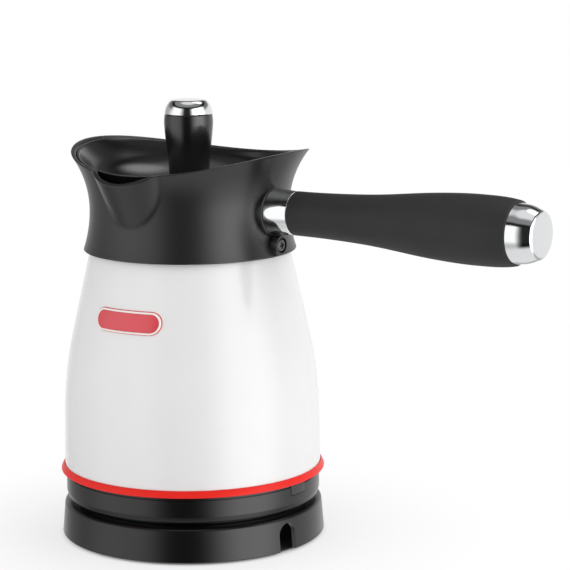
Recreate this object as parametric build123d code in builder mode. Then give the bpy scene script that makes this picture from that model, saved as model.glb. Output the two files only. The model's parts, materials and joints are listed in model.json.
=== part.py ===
from build123d import *

import math
import os

# Electric turkish coffee maker: a cordless pot on a round stand.
# Millimetres, +Z up, +X along the handle, origin under the middle of the stand
# on the plane that its rubber feet rest on.

# ---------------------------------------------------------------- stand
foot_proud = 1.0              # the stand's skirt clears the table by this much
stand_height = 15.0           # skirt edge to deck
stand_foot_radius = 60.0
stand_draft = 1.3             # the skirt leans in by this much
stand_edge_round = 1.6
stand_wall = 2.2
stand_deck = 2.2
deck_pad_margin = 3.0         # thicker middle of the deck, outside the socket's flange
deck_pad_thickness = 3.2
cord_lip_width = 5.0          # bottom plate outside the drum; it keeps the wound cord on
hub_wall = 2.0                # of the drum under the deck that spare cord winds round
plate_foot_gap = 4.0          # between bottom plate and foot pads
bottom_plate_thickness = 2.4
plate_screw_offset = 4.5      # outside the socket's flange
plate_screw_count = 3
plate_boss_radius = 3.6
foot_skirt_gap = 2.8          # foot pad to the skirt's inside
foot_count = 4
foot_post_radius = 4.5
foot_pad_radius = 5.0
foot_pad_thickness = 2.0
foot_stem_radius = 1.5
foot_stem_length = 5.0
cord_notch_width = 10.0
cord_notch_height = 12.4
cord_notch_angle = -9.3       # degrees from the handle's direction, about +Z

# ---------------------------------------------------------------- socket on the stand
tower_radius = 17.0
tower_height = 7.0            # above the deck
tower_chamfer = 0.8
socket_flange_width = 8.0     # outside the tower
socket_flange_thickness = 2.6
socket_depth = 10.5           # below the deck
socket_screw_offset = 4.0     # outside the tower
socket_screw_cover = 0.65     # deck left above the screws' tips
tower_hole_clearance = 0.15
pin_radius = 2.0
inner_ring_radius = 8.9       # outside of the pot's inner contact ring
outer_ring_radius = 13.9      # outside of the pot's outer contact ring
contact_wall = 1.0
groove_clearance = 0.7        # round each ring in its groove
leaf_thickness = 0.35
leaf_half_angle = 12.0
leaf_slot_gap = 0.05          # round each leaf where it passes the groove's floor
leaf_slot_turn = 1.0          # degrees of play at each side
leaf_below_top = 1.5
leaf_tail = 1.0               # below the socket, for its wire
groove_floor_gap = 1.4        # contact tips to the groove's floor
sleeve_wall = 0.6
sleeve_pin_gap = 0.4
sleeve_running_gap = 0.05
sleeve_length = 12.5
sleeve_below_top = 1.5
contact_reach = 6.0           # how far the pot's contacts reach below the coupler

# ---------------------------------------------------------------- pot, lower housing
housing_height = 13.8         # deck to the top of the housing's wall
housing_step_depth = 5.2      # how far the dark groove goes in under the housing's foot
housing_step_height = 2.5     # the dark groove between stand and pot
housing_draft = 0.6           # the wall leans in by this much towards its foot
housing_ring_inset = 2.3      # wall inside the trim ring's widest part
housing_foot_round = 0.6
housing_wall = 2.2
housing_floor = 2.2
well_gap = 2.5                # round the tower, in the hollow that drops over it
well_wall = 2.2
well_top_gap = 0.8            # tower top to coupler
housing_screw_pitch_radius = 42.0
housing_screw_count = 3
housing_screw_start = 60.0    # degrees
housing_boss_radius = 4.4
housing_boss_height = 5.5
lens_width = 11.0
lens_height = 5.2
lens_proud = 0.3
lens_flange = 1.2
lens_corner = 1.2
lamp_radius = 2.2
lamp_length = 9.0
lamp_lens_gap = 1.6

# ---------------------------------------------------------------- trim ring
ring_flange = 1.2             # under the vessel's floor
ring_flange_width = 4.6
ring_foot_width = 1.54        # widest part outside the vessel's gap
ring_top_width = 0.24
ring_band_height = 2.3
ring_vessel_gap = 0.1
ring_chamfer = 0.5

# ---------------------------------------------------------------- vessel
vessel_height = 114.0
vessel_wall = 0.8
vessel_foot_radius = 58.46
vessel_belly_draft = 0.86     # the belly leans in by this much up to the cone
vessel_bend_height = 44.8
vessel_bend_round = 157.0
vessel_corner_round = 2.5
vessel_top_radius = 41.94

# ---------------------------------------------------------------- heater and coupler
heater_plate_inset = 11.96    # inside the vessel's foot
heater_plate_thickness = 3.0
element_ring_radius = 34.0
element_tube_radius = 3.3
element_open_angle = 40.0     # gap between the element's two ends, on the -X side
element_pin_radius = 1.2
element_pin_length = 6.0
standoff_radius = 3.8
coupler_margin = 1.3          # outside the well's wall
thermostat_thickness = 0.6
thermostat_radius = 8.0
thermostat_pin_radius = 0.8
thermostat_pin_recess = 1.3   # pin's tip inside the coupler's face
coupler_ear_radius = 3.4
coupler_ear_reach = 3.0       # ear's screw outside the coupler's edge
coupler_ear_thickness = 2.6
link_thickness = 0.8
link_width = 5.0
link_overhang = 2.5           # past the element's pins

# ---------------------------------------------------------------- collar
collar_overlap = 14.0         # collar's lower edge to the vessel's top
collar_waist_proud = 3.0      # outside the vessel's top radius
collar_waist_height = 18.5    # above the collar's lower edge
collar_lower_round = 56.7
collar_flare_round = 42.3
collar_flare_wall = 1.5
collar_bore_step = 0.74       # bore inside the vessel's top radius
collar_pocket_gap = 1.7       # between vessel and collar, for the bracket
collar_lip_gap = 0.15
collar_lip_height = 1.5
ledge_height = 29.0           # lid seat above the collar's lower edge
rim_flare = 7.5               # mean rim outside the waist
rim_height = 42.4             # mean rim above the collar's lower edge
rim_saddle = 4.0              # rise over the handle, fall at the sides
rim_tilt = 0.87               # fall of the spout's side
rim_stock = 7.0               # flare made above the mean rim before the rim is cut

# ---------------------------------------------------------------- spout
spout_root_height = 14.0      # above the collar's lower edge
spout_root_inset = 13.7       # root's centre inside the waist
spout_root_radius = 13.8
spout_top_height = 50.0
spout_lean = 0.208            # outward travel per millimetre of height
spout_widening = 0.278        # radius gained per millimetre of height
spout_wall = 2.0
spout_floor_height = 18.0     # where the pouring channel starts
spout_tip_height = 34.1       # the lip's lowest point above the collar's lower edge
spout_reach = 2.1             # tip outside the mean rim
spout_lip_slope = 41.5        # degrees that the lip falls outward

# ---------------------------------------------------------------- seal and bracket
seal_height = 2.0
seal_width = 1.86
bracket_thickness = 1.5
bracket_half_angle = 8.5
bracket_foot_height = 2.0     # above the collar's lower edge
bracket_top_above_axis = 5.9
bracket_slot_gap = 0.15
bracket_slot_turn = 0.5       # degrees of play at each side
nut_radius = 4.6
nut_thickness = 2.9
nut_gap = 0.25
pad_half_width = 8.0
pad_wall = 1.2

# ---------------------------------------------------------------- handle
handle_axis_height = 20.0     # above the collar's lower edge
handle_boss_radius = 11.0
handle_boss_proud = 1.8       # outside the waist
ferrule_length = 11.5
ferrule_root_radius = 10.3    # at the collar
ferrule_end_radius = 9.65     # at the grip
grip_length = 109.2
grip_neck_radius = 9.7
grip_taper_radius = 10.85     # a third of the way out
grip_taper_at = 36.5
grip_swell_radius = 14.0
grip_swell_at = 69.5
grip_belly_radius = 14.9
grip_belly_at = 91.3
grip_end_radius = 13.6
grip_end_round = 1.0
grip_end_lean = -12.4         # degrees, the grip's fall towards its end
cap_step = 0.8                # inside the grip's end
cap_disc_radius = 10.0
cap_taper_length = 10.6
cap_bulge = 0.7               # of the taper, at its middle
cap_dome = 0.9
cap_spigot_step = 5.0         # inside the cap's rim
cap_spigot_length = 8.0
cap_spigot_wall = 1.5
bolt_radius = 2.5
bolt_clearance = 0.3
bolt_head_radius = 4.3
bolt_head_height = 4.0
bolt_seat_from_end = 19.5
bolt_tail = 0.3               # the bolt stops this far inside the nut's far face
washer_radius = 5.2
washer_thickness = 1.0
head_pocket_gap = 0.3

# ---------------------------------------------------------------- collar screw
collar_screw_height = 5.1     # above the collar's lower edge
collar_screw_boss_radius = 4.4
collar_screw_boss_proud = 5.2 # outside the waist
collar_screw_recess_radius = 3.4
collar_screw_recess_depth = 1.6
collar_screw_head_radius = 2.8
collar_screw_head_height = 1.5
collar_screw_tip_gap = 0.1    # tip to vessel

# ---------------------------------------------------------------- lid
lid_gap = 0.4                 # between lid and flare
lid_wall = 2.0                # floor of the dish
lid_edge_wall = 0.9           # flared part, up to the edge
lid_edge_drop = 0.5           # lid edge below the collar's rim
lid_dish_depth = 8.4          # dish floor below the lid seat
lid_dish_flat_margin = 2.6    # flat floor outside the knob's foot
lid_dish_mid_inset = 11.2     # inside the collar's bore
lid_dish_mid_rise = 4.6
lid_wall_join_height = 7.8    # where the dish meets the flared wall, above the seat
lid_seat_bore_gap = 0.5       # lid seat inside the collar's bore
lid_seat_lean = 41.0          # degrees, how steeply the dish's underside meets the seat
knob_height = 39.9
knob_base_radius = 8.4
knob_waist_radius = 9.3
knob_waist_at = 18.0
knob_belly_radius = 10.98
knob_belly_at = 35.2
knob_top_radius = 10.7
knob_cap_height = 6.4
knob_cap_flat_radius = 6.6
knob_cap_shoulder_radius = 9.5
knob_cap_shoulder_height = 4.35
knob_spigot_radius = 7.0
knob_spigot_length = 5.0
lid_screw_length = 17.0

# ---------------------------------------------------------------- badge
badge_width = 34.0
badge_height = 9.5
badge_above_floor = 74.0      # badge centre above the vessel's floor
badge_angle = -87.6
badge_thickness = 0.9
badge_border = 0.9
badge_recess = 0.5
badge_inlay_thickness = 0.4

# ---------------------------------------------------------------- fasteners
screw_radius = 1.5
screw_head_radius = 2.9
screw_head_height = 1.3
screw_clearance = 0.2
head_clearance = 0.2
driver_slot_width = 0.7
driver_slot_depth = 0.8
driver_slot_share = 0.6       # of the head's radius
screw_head_round = 0.5
small_screw_radius = 1.2
small_screw_head_radius = 2.2
lid_screw_radius = 1.75
lid_screw_head_radius = 3.6
lid_screw_head_height = 2.2

# ---------------------------------------------------------------- heights worked out from the sizes
stand_edge_z = foot_proud
deck_z = stand_edge_z + stand_height
deck_under_z = deck_z - stand_deck
pad_under_z = deck_z - deck_pad_thickness
plate_top_z = foot_proud + bottom_plate_thickness
tower_top_z = deck_z + tower_height
socket_bottom_z = deck_z - socket_depth
coupler_bottom_z = tower_top_z + well_top_gap
housing_top_z = deck_z + housing_height
vessel_bottom_z = housing_top_z + ring_flange
heater_under_z = vessel_bottom_z - heater_plate_thickness
coupler_top_z = heater_under_z - thermostat_thickness
contact_tip_z = coupler_bottom_z - contact_reach
vessel_top_z = vessel_bottom_z + vessel_height
collar_bottom_z = vessel_top_z - collar_overlap
waist_z = collar_bottom_z + collar_waist_height
pocket_top_z = vessel_top_z + seal_height
ledge_z = collar_bottom_z + ledge_height
rim_z = collar_bottom_z + rim_height
stock_top_z = rim_z + rim_stock
cutter_height = 4 * rim_stock
handle_z = collar_bottom_z + handle_axis_height
collar_screw_z = collar_bottom_z + collar_screw_height
dish_z = ledge_z - lid_dish_depth
knob_top_z = dish_z + knob_height
lens_bottom_z = housing_top_z - lens_height
lamp_z = housing_top_z - lens_height / 2
element_z = heater_under_z - element_tube_radius

# ---------------------------------------------------------------- radii worked out from the sizes
stand_shoulder_radius = stand_foot_radius - stand_draft
foot_pitch_radius = stand_foot_radius - stand_wall - foot_skirt_gap - foot_pad_radius
bottom_plate_radius = foot_pitch_radius - foot_pad_radius - plate_foot_gap
hub_radius = bottom_plate_radius - cord_lip_width
socket_flange_radius = tower_radius + socket_flange_width
socket_screw_pitch_radius = tower_radius + socket_screw_offset
deck_pad_radius = socket_flange_radius + deck_pad_margin
plate_screw_pitch_radius = socket_flange_radius + plate_screw_offset
well_radius = tower_radius + well_gap
coupler_radius = well_radius + well_wall + coupler_margin
coupler_ear_pitch_radius = coupler_radius + coupler_ear_reach
thermostat_offset = (inner_ring_radius + outer_ring_radius - contact_wall) / 2
vessel_bend_radius = vessel_foot_radius - vessel_belly_draft
heater_plate_radius = vessel_foot_radius - heater_plate_inset
ring_inner_radius = vessel_foot_radius + ring_vessel_gap
ring_outer_radius = ring_inner_radius + ring_foot_width
ring_top_radius = ring_inner_radius + ring_top_width
housing_radius = ring_outer_radius - housing_ring_inset
housing_inner_radius = housing_radius - housing_wall
housing_foot_radius = housing_radius - housing_draft
housing_step_radius = housing_foot_radius - housing_step_depth
lamp_centre_radius = housing_inner_radius - lens_flange - lamp_lens_gap - lamp_radius
collar_waist_radius = vessel_top_radius + collar_waist_proud
collar_bore_radius = vessel_top_radius - collar_bore_step
rim_radius = collar_waist_radius + rim_flare
spout_root_centre = collar_waist_radius - spout_root_inset
spout_tip_radius = rim_radius + spout_reach
handle_boss_face = collar_waist_radius + handle_boss_proud
collar_screw_boss_face = collar_waist_radius + collar_screw_boss_proud
lid_dish_mid_radius = collar_bore_radius - lid_dish_mid_inset
lid_dish_flat_radius = knob_base_radius + lid_dish_flat_margin
cap_radius = grip_end_radius - cap_step
cap_spigot_radius = cap_radius - cap_spigot_step
link_outer_reach = element_ring_radius + link_overhang

# ---------------------------------------------------------------- distances along the handle
ferrule_end_x = handle_boss_face + ferrule_length
grip_end_x = ferrule_end_x + grip_length
bolt_seat_x = grip_end_x - bolt_seat_from_end
flare_centre_radius = collar_waist_radius + collar_flare_round
bracket_inner_radius = vessel_top_radius
bracket_outer_radius = bracket_inner_radius + bracket_thickness


def cone_radius(z):
    """Outside radius of the vessel's conical upper part at a height."""
    run = vessel_bottom_z + vessel_bend_height
    share = (z - run) / (vessel_top_z - run)
    return vessel_bend_radius + share * (vessel_top_radius - vessel_bend_radius)


def flare_radius(z, inset):
    """Radius of the collar's flare at a height, for a surface this far inside it."""
    reach = collar_flare_round + inset
    return flare_centre_radius - math.sqrt(reach**2 - (z - waist_z) ** 2)


def flare_angle(z, inset):
    """Angle on the flare's arc at a height, counted down from its level point."""
    return math.degrees(math.asin((z - waist_z) / (collar_flare_round + inset)))


def upright(angle):
    """A plane through the axis: local x runs outward at this angle, local y is up."""
    turn = math.radians(angle)
    outward = (math.cos(turn), math.sin(turn), 0)
    return Plane(origin=(0, 0, 0), x_dir=outward, z_dir=(math.sin(turn), -math.cos(turn), 0))


def tube(inner, outer, bottom, top, mode=Mode.ADD):
    """A tube about the axis; inner may be 0 for a disc."""
    with BuildSketch(Plane.XY.offset(bottom)) as ring:
        Circle(outer)
        if inner > 0:
            Circle(inner, mode=Mode.SUBTRACT)
    extrude(to_extrude=ring.sketch, amount=top - bottom, mode=mode)


def posts(count, pitch_radius, start, radius, bottom, top, mode=Mode.ADD):
    """Round posts or holes on a circle about the axis."""
    with BuildSketch(Plane.XY.offset(bottom)) as discs:
        with PolarLocations(pitch_radius, count, start_angle=start):
            Circle(radius)
    extrude(to_extrude=discs.sketch, amount=top - bottom, mode=mode)


def along_handle(radius, start, end, height=handle_z, mode=Mode.ADD):
    """A cylinder parallel to the handle."""
    with BuildSketch(Plane.YZ.offset(start)) as disc:
        with Locations((0, height)):
            Circle(radius)
    extrude(to_extrude=disc.sketch, amount=end - start, mode=mode)


def sector(inner, outer, bottom, top, angle, half_angle, mode=Mode.ADD):
    """A piece of a tube, centred on an angle."""
    with BuildSketch(upright(angle - half_angle)) as section:
        with Locations(((inner + outer) / 2, (bottom + top) / 2)):
            Rectangle(outer - inner, top - bottom)
    revolve(section.sketch, axis=Axis.Z, revolution_arc=2 * half_angle, mode=mode)


def wall_patch(inner, outer, width, bottom, top):
    """A piece of a round wall at the handle's side, with rounded lower corners."""
    with BuildSketch(Plane.XY.offset(bottom)) as ring:
        Circle(outer)
        Circle(inner, mode=Mode.SUBTRACT)
    with BuildSketch(Plane.YZ) as window:
        with Locations((0, (bottom + top) / 2)):
            Rectangle(width, top - bottom)
        fillet(vertices().group_by(Axis.Y)[0], lens_corner)
    wall = extrude(to_extrude=ring.sketch, amount=top - bottom, mode=Mode.PRIVATE)
    prism = extrude(to_extrude=window.sketch, amount=2 * outer, mode=Mode.PRIVATE)
    return wall & prism


def cross_slot(head_radius):
    """A screwdriver's cross recess at each present place of a sketch."""
    slot_length = 2 * driver_slot_share * head_radius
    Rectangle(slot_length, driver_slot_width)
    Rectangle(driver_slot_width, slot_length)


def rim_cutter(drop):
    """The saddle surface that trims rim and lid edge, as a four-cornered bezier face."""
    reach = 2 * rim_radius
    rise = rim_saddle * (reach / rim_radius) ** 2
    fall = rim_tilt * reach / rim_radius
    level = rim_z - drop
    corners = [
        [(reach, 0, level + rise), (0, reach, level - rise + fall)],
        [(0, -reach, level - rise - fall), (-reach, 0, level + rise)],
    ]
    return Face.make_bezier_surface(corners)


def save(piece, name):
    """Labels a finished piece and writes its STEP file."""
    piece.part.label = name
    export_step(piece.part, f"parts/{name}.step")


os.makedirs("parts", exist_ok=True)

# ================================================================ stand
with BuildPart() as base_shell:
    with BuildSketch(Plane.XZ):
        with BuildLine():
            Polyline(
                (0, stand_edge_z),
                (stand_foot_radius, stand_edge_z),
                (stand_shoulder_radius, deck_z),
                (0, deck_z),
                close=True,
            )
        make_face()
        shoulder = vertices().group_by(Axis.Y)[-1].sort_by(Axis.X)[-1]
        fillet(shoulder, stand_edge_round)
    revolve(axis=Axis.Z)
    with BuildSketch(Plane.XZ):
        with BuildLine():
            Polyline(
                (hub_radius, stand_edge_z),
                (stand_foot_radius - stand_wall, stand_edge_z),
                (stand_shoulder_radius - stand_wall, deck_under_z),
                (hub_radius, deck_under_z),
                close=True,
            )
        make_face()
    revolve(axis=Axis.Z, mode=Mode.SUBTRACT)
    tube(0, hub_radius - hub_wall, stand_edge_z, deck_under_z, mode=Mode.SUBTRACT)
    tube(0, bottom_plate_radius, stand_edge_z, plate_top_z, mode=Mode.SUBTRACT)
    tube(0, deck_pad_radius, pad_under_z, deck_z)
    posts(foot_count, foot_pitch_radius, 45, foot_post_radius, foot_pad_thickness, deck_under_z)
    posts(foot_count, foot_pitch_radius, 45, foot_stem_radius, foot_pad_thickness,
          foot_pad_thickness + foot_stem_length, mode=Mode.SUBTRACT)
    posts(plate_screw_count, plate_screw_pitch_radius, 0, plate_boss_radius, plate_top_z, deck_under_z)
    posts(plate_screw_count, plate_screw_pitch_radius, 0, screw_radius, plate_top_z,
          pad_under_z, mode=Mode.SUBTRACT)
    tube(0, tower_radius + tower_hole_clearance, pad_under_z, deck_z, mode=Mode.SUBTRACT)
    posts(2, socket_screw_pitch_radius, 90, small_screw_radius, pad_under_z,
          deck_z - socket_screw_cover, mode=Mode.SUBTRACT)
    notch_straight = cord_notch_height - cord_notch_width / 2
    notch_plane = Plane(origin=(0, 0, 0), x_dir=upright(cord_notch_angle).z_dir,
                        z_dir=upright(cord_notch_angle).x_dir)
    with BuildSketch(notch_plane.offset(stand_shoulder_radius - 2 * stand_wall)):
        with Locations((0, -stand_edge_z - notch_straight / 2)):
            Rectangle(cord_notch_width, notch_straight)
        with Locations((0, -stand_edge_z - notch_straight)):
            Circle(cord_notch_width / 2)
    extrude(amount=4 * stand_wall, mode=Mode.SUBTRACT)
save(base_shell, "base_shell")

with BuildPart() as base_bottom_plate:
    tube(0, bottom_plate_radius, foot_proud, plate_top_z)
    posts(plate_screw_count, plate_screw_pitch_radius, 0, screw_radius + screw_clearance,
          foot_proud, plate_top_z, mode=Mode.SUBTRACT)
    posts(plate_screw_count, plate_screw_pitch_radius, 0, screw_head_radius + head_clearance,
          foot_proud, foot_proud + screw_head_height, mode=Mode.SUBTRACT)
save(base_bottom_plate, "base_bottom_plate")

with BuildPart() as base_feet:
    posts(foot_count, foot_pitch_radius, 45, foot_pad_radius, 0, foot_pad_thickness)
    posts(foot_count, foot_pitch_radius, 45, foot_stem_radius, foot_pad_thickness,
          foot_pad_thickness + foot_stem_length)
save(base_feet, "base_feet")

with BuildPart() as base_screws:
    head_top_z = foot_proud + screw_head_height
    posts(plate_screw_count, plate_screw_pitch_radius, 0, screw_head_radius, foot_proud, head_top_z)
    posts(plate_screw_count, plate_screw_pitch_radius, 0, screw_radius, head_top_z, pad_under_z)
    with BuildSketch(Plane.XY.offset(foot_proud)):
        with PolarLocations(plate_screw_pitch_radius, plate_screw_count):
            cross_slot(screw_head_radius)
    extrude(amount=driver_slot_depth, mode=Mode.SUBTRACT)
save(base_screws, "base_screws")

# ---------------------------------------------------------------- socket
bore_radius = pin_radius + sleeve_pin_gap + sleeve_wall + sleeve_running_gap
sleeve_top_z = tower_top_z - sleeve_below_top
sleeve_bottom_z = sleeve_top_z - sleeve_length
groove_bottom_z = contact_tip_z - groove_floor_gap
leaf_top_z = tower_top_z - leaf_below_top
leaf_bottom_z = socket_bottom_z - leaf_tail
ring_radii = (inner_ring_radius, outer_ring_radius)

with BuildPart() as socket_housing:
    flange_bottom_z = pad_under_z - socket_flange_thickness
    tube(0, tower_radius, socket_bottom_z, tower_top_z)
    tube(0, socket_flange_radius, flange_bottom_z, pad_under_z)
    chamfer(faces().sort_by(Axis.Z)[-1].edges(), tower_chamfer)
    tube(0, bore_radius, sleeve_bottom_z, tower_top_z, mode=Mode.SUBTRACT)
    for ring_radius in ring_radii:
        groove_inner = ring_radius - contact_wall - groove_clearance
        groove_outer = ring_radius + groove_clearance
        tube(groove_inner, groove_outer, groove_bottom_z, tower_top_z, mode=Mode.SUBTRACT)
        sector(groove_outer - leaf_thickness - leaf_slot_gap, groove_outer + leaf_slot_gap,
               socket_bottom_z, groove_bottom_z, 0, leaf_half_angle + leaf_slot_turn, mode=Mode.SUBTRACT)
    posts(2, socket_screw_pitch_radius, 90, small_screw_radius + screw_clearance,
          flange_bottom_z, pad_under_z, mode=Mode.SUBTRACT)
save(socket_housing, "socket_housing")

with BuildPart() as socket_inner_leaf:
    leaf_outer = inner_ring_radius + groove_clearance
    sector(leaf_outer - leaf_thickness, leaf_outer, leaf_bottom_z, leaf_top_z, 0, leaf_half_angle)
save(socket_inner_leaf, "socket_inner_leaf")

with BuildPart() as socket_outer_leaf:
    leaf_outer = outer_ring_radius + groove_clearance
    sector(leaf_outer - leaf_thickness, leaf_outer, leaf_bottom_z, leaf_top_z, 0, leaf_half_angle)
save(socket_outer_leaf, "socket_outer_leaf")

with BuildPart() as socket_sleeve:
    tube(pin_radius + sleeve_pin_gap, bore_radius - sleeve_running_gap, sleeve_bottom_z, sleeve_top_z)
save(socket_sleeve, "socket_sleeve")

with BuildPart() as socket_screws:
    posts(2, socket_screw_pitch_radius, 90, small_screw_radius, flange_bottom_z,
          deck_z - socket_screw_cover)
    posts(2, socket_screw_pitch_radius, 90, small_screw_head_radius,
          flange_bottom_z - screw_head_height, flange_bottom_z)
save(socket_screws, "socket_screws")

# ================================================================ pot, lower housing
housing_step_z = deck_z + housing_step_height
inner_step_radius = housing_step_radius - housing_wall
lens_cut_top_z = housing_top_z + ring_flange

with BuildPart() as lower_housing:
    with BuildSketch(Plane.XZ):
        with BuildLine():
            Polyline(
                (well_radius, deck_z),
                (housing_step_radius, deck_z),
                (housing_step_radius, housing_step_z),
                (housing_foot_radius, housing_step_z),
                (housing_radius, housing_step_z + housing_step_height),
                (housing_radius, housing_top_z),
                (housing_inner_radius, housing_top_z),
                (housing_inner_radius, housing_step_z + housing_wall),
                (inner_step_radius, housing_step_z + housing_wall),
                (inner_step_radius, deck_z + housing_floor),
                (well_radius + well_wall, deck_z + housing_floor),
                (well_radius + well_wall, coupler_bottom_z),
                (well_radius, coupler_bottom_z),
                close=True,
            )
        make_face()
        foot_corner = [v for v in vertices() if abs(v.X - housing_foot_radius) < housing_foot_round]
        foot_corner = ShapeList(foot_corner).group_by(Axis.Y)[0]
        fillet(foot_corner, housing_foot_round)
    revolve(axis=Axis.Z)
    posts(housing_screw_count, housing_screw_pitch_radius, housing_screw_start, housing_boss_radius,
          deck_z, deck_z + housing_boss_height)
    posts(housing_screw_count, housing_screw_pitch_radius, housing_screw_start,
          screw_radius + screw_clearance, deck_z, deck_z + housing_boss_height, mode=Mode.SUBTRACT)
    posts(housing_screw_count, housing_screw_pitch_radius, housing_screw_start,
          screw_head_radius + head_clearance, deck_z, deck_z + housing_floor, mode=Mode.SUBTRACT)
    cradle_height = lamp_z - housing_step_z - housing_wall
    with BuildSketch(Plane.XY.offset(housing_step_z + housing_wall)):
        with Locations((lamp_centre_radius, 0)):
            Rectangle(2 * lamp_radius, lamp_length / 2)
    extrude(amount=cradle_height)
    with BuildSketch(Plane.XZ):
        with Locations((lamp_centre_radius, lamp_z)):
            Circle(lamp_radius)
    extrude(amount=lamp_length, both=True, mode=Mode.SUBTRACT)
    with BuildSketch(Plane.YZ.offset(lamp_centre_radius + lamp_radius)):
        with Locations((0, (lens_bottom_z + lens_cut_top_z) / 2)):
            Rectangle(lens_width, lens_cut_top_z - lens_bottom_z)
        fillet(vertices().group_by(Axis.Y)[0], lens_corner)
    extrude(amount=housing_radius, mode=Mode.SUBTRACT)
save(lower_housing, "lower_housing")

with BuildPart() as housing_screws:
    head_top_z = deck_z + housing_floor
    posts(housing_screw_count, housing_screw_pitch_radius, housing_screw_start, screw_head_radius,
          head_top_z - screw_head_height, head_top_z)
    posts(housing_screw_count, housing_screw_pitch_radius, housing_screw_start, screw_radius,
          head_top_z, heater_under_z)
save(housing_screws, "housing_screws")

with BuildPart() as indicator_lamp:
    with BuildSketch(Plane.XZ):
        with Locations((lamp_centre_radius, lamp_z)):
            Circle(lamp_radius)
    extrude(amount=lamp_length / 2, both=True)
    fillet(edges().filter_by(GeomType.CIRCLE), lamp_radius / 2)
save(indicator_lamp, "indicator_lamp")

with BuildPart() as indicator_lens:
    flange_bottom_z = lens_bottom_z - lens_flange
    flange_width = lens_width + 2 * lens_flange
    add(wall_patch(housing_inner_radius - lens_flange, housing_inner_radius, flange_width,
                   flange_bottom_z, housing_top_z))
    add(wall_patch(housing_inner_radius, housing_radius + lens_proud, lens_width,
                   lens_bottom_z, housing_top_z))
save(indicator_lens, "indicator_lens")

# ================================================================ trim ring and vessel
with BuildPart() as trim_ring:
    ring_top_z = vessel_bottom_z + ring_band_height
    with BuildSketch(Plane.XZ):
        with BuildLine():
            Polyline(
                (ring_inner_radius - ring_flange_width, housing_top_z),
                (housing_radius, housing_top_z),
                (ring_outer_radius, housing_top_z + ring_chamfer),
                (ring_outer_radius, housing_top_z + 2 * ring_chamfer),
                (ring_top_radius, ring_top_z),
                (ring_inner_radius, ring_top_z),
                (ring_inner_radius, vessel_bottom_z),
                (ring_inner_radius - ring_flange_width, vessel_bottom_z),
                close=True,
            )
        make_face()
    revolve(axis=Axis.Z)
save(trim_ring, "trim_ring")

with BuildPart() as vessel:
    bend_z = vessel_bottom_z + vessel_bend_height
    with BuildSketch(Plane.XZ):
        with BuildLine():
            Polyline(
                (0, vessel_bottom_z),
                (vessel_foot_radius, vessel_bottom_z),
                (vessel_bend_radius, bend_z),
                (vessel_top_radius, vessel_top_z),
                (0, vessel_top_z),
                close=True,
            )
        make_face()
        bend = vertices().group_by(Axis.Y)[1]
        fillet(bend, vessel_bend_round)
        foot = vertices().group_by(Axis.Y)[0].sort_by(Axis.X)[-1]
        fillet(foot, vessel_corner_round)
    revolve(axis=Axis.Z)
    offset(amount=-vessel_wall, openings=faces().sort_by(Axis.Z)[-1])
save(vessel, "vessel")

# ================================================================ heater
with BuildPart() as heater_plate:
    tube(0, heater_plate_radius, heater_under_z, vessel_bottom_z)
    posts(housing_screw_count, housing_screw_pitch_radius, housing_screw_start, standoff_radius,
          deck_z + housing_boss_height, heater_under_z)
    posts(housing_screw_count, housing_screw_pitch_radius, housing_screw_start, screw_radius,
          deck_z + housing_boss_height, heater_under_z, mode=Mode.SUBTRACT)
    posts(2, coupler_ear_pitch_radius, 90, small_screw_radius, heater_under_z,
          vessel_bottom_z - vessel_wall, mode=Mode.SUBTRACT)
save(heater_plate, "heater_plate")

element_start = 180 + element_open_angle / 2
element_arc = 360 - element_open_angle
with BuildPart() as heating_element:
    with BuildSketch(upright(element_start)):
        with Locations((element_ring_radius, element_z)):
            Circle(element_tube_radius)
    revolve(axis=Axis.Z, revolution_arc=element_arc)
    with BuildSketch(upright(element_start)):
        with Locations((element_ring_radius, element_z)):
            Circle(element_pin_radius)
    extrude(amount=element_pin_length)
    with BuildSketch(upright(element_start + element_arc)):
        with Locations((element_ring_radius, element_z)):
            Circle(element_pin_radius)
    extrude(amount=-element_pin_length)
save(heating_element, "heating_element")

with BuildPart() as coupler_body:
    tube(0, coupler_radius, coupler_bottom_z, coupler_top_z)
    ear_bottom_z = heater_under_z - coupler_ear_thickness
    with BuildSketch(Plane.XY.offset(ear_bottom_z)):
        with PolarLocations(coupler_ear_pitch_radius, 2, start_angle=90):
            Circle(coupler_ear_radius)
        with PolarLocations(coupler_radius, 2, start_angle=90):
            Rectangle(2 * coupler_ear_radius, 2 * coupler_ear_radius)
        Circle(coupler_radius - coupler_ear_radius, mode=Mode.SUBTRACT)
    extrude(amount=coupler_ear_thickness)
    posts(2, coupler_ear_pitch_radius, 90, small_screw_radius, ear_bottom_z, heater_under_z,
          mode=Mode.SUBTRACT)
    tube(0, pin_radius, coupler_bottom_z, coupler_top_z, mode=Mode.SUBTRACT)
    for ring_radius in ring_radii:
        tube(ring_radius - contact_wall, ring_radius, coupler_bottom_z,
             coupler_top_z - contact_wall, mode=Mode.SUBTRACT)
    with BuildSketch(Plane.XY.offset(coupler_bottom_z)):
        with Locations((0, thermostat_offset)):
            Circle(thermostat_pin_radius)
    extrude(amount=coupler_top_z - coupler_bottom_z, mode=Mode.SUBTRACT)
save(coupler_body, "coupler_body")

with BuildPart() as coupler_pin:
    tube(0, pin_radius, contact_tip_z, coupler_top_z)
    fillet(faces().sort_by(Axis.Z)[0].edges(), pin_radius / 2)
save(coupler_pin, "coupler_pin")

with BuildPart() as coupler_inner_ring:
    tube(inner_ring_radius - contact_wall, inner_ring_radius, contact_tip_z,
         coupler_top_z - contact_wall)
save(coupler_inner_ring, "coupler_inner_ring")

with BuildPart() as coupler_outer_ring:
    tube(outer_ring_radius - contact_wall, outer_ring_radius, contact_tip_z,
         coupler_top_z - contact_wall)
save(coupler_outer_ring, "coupler_outer_ring")

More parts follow.
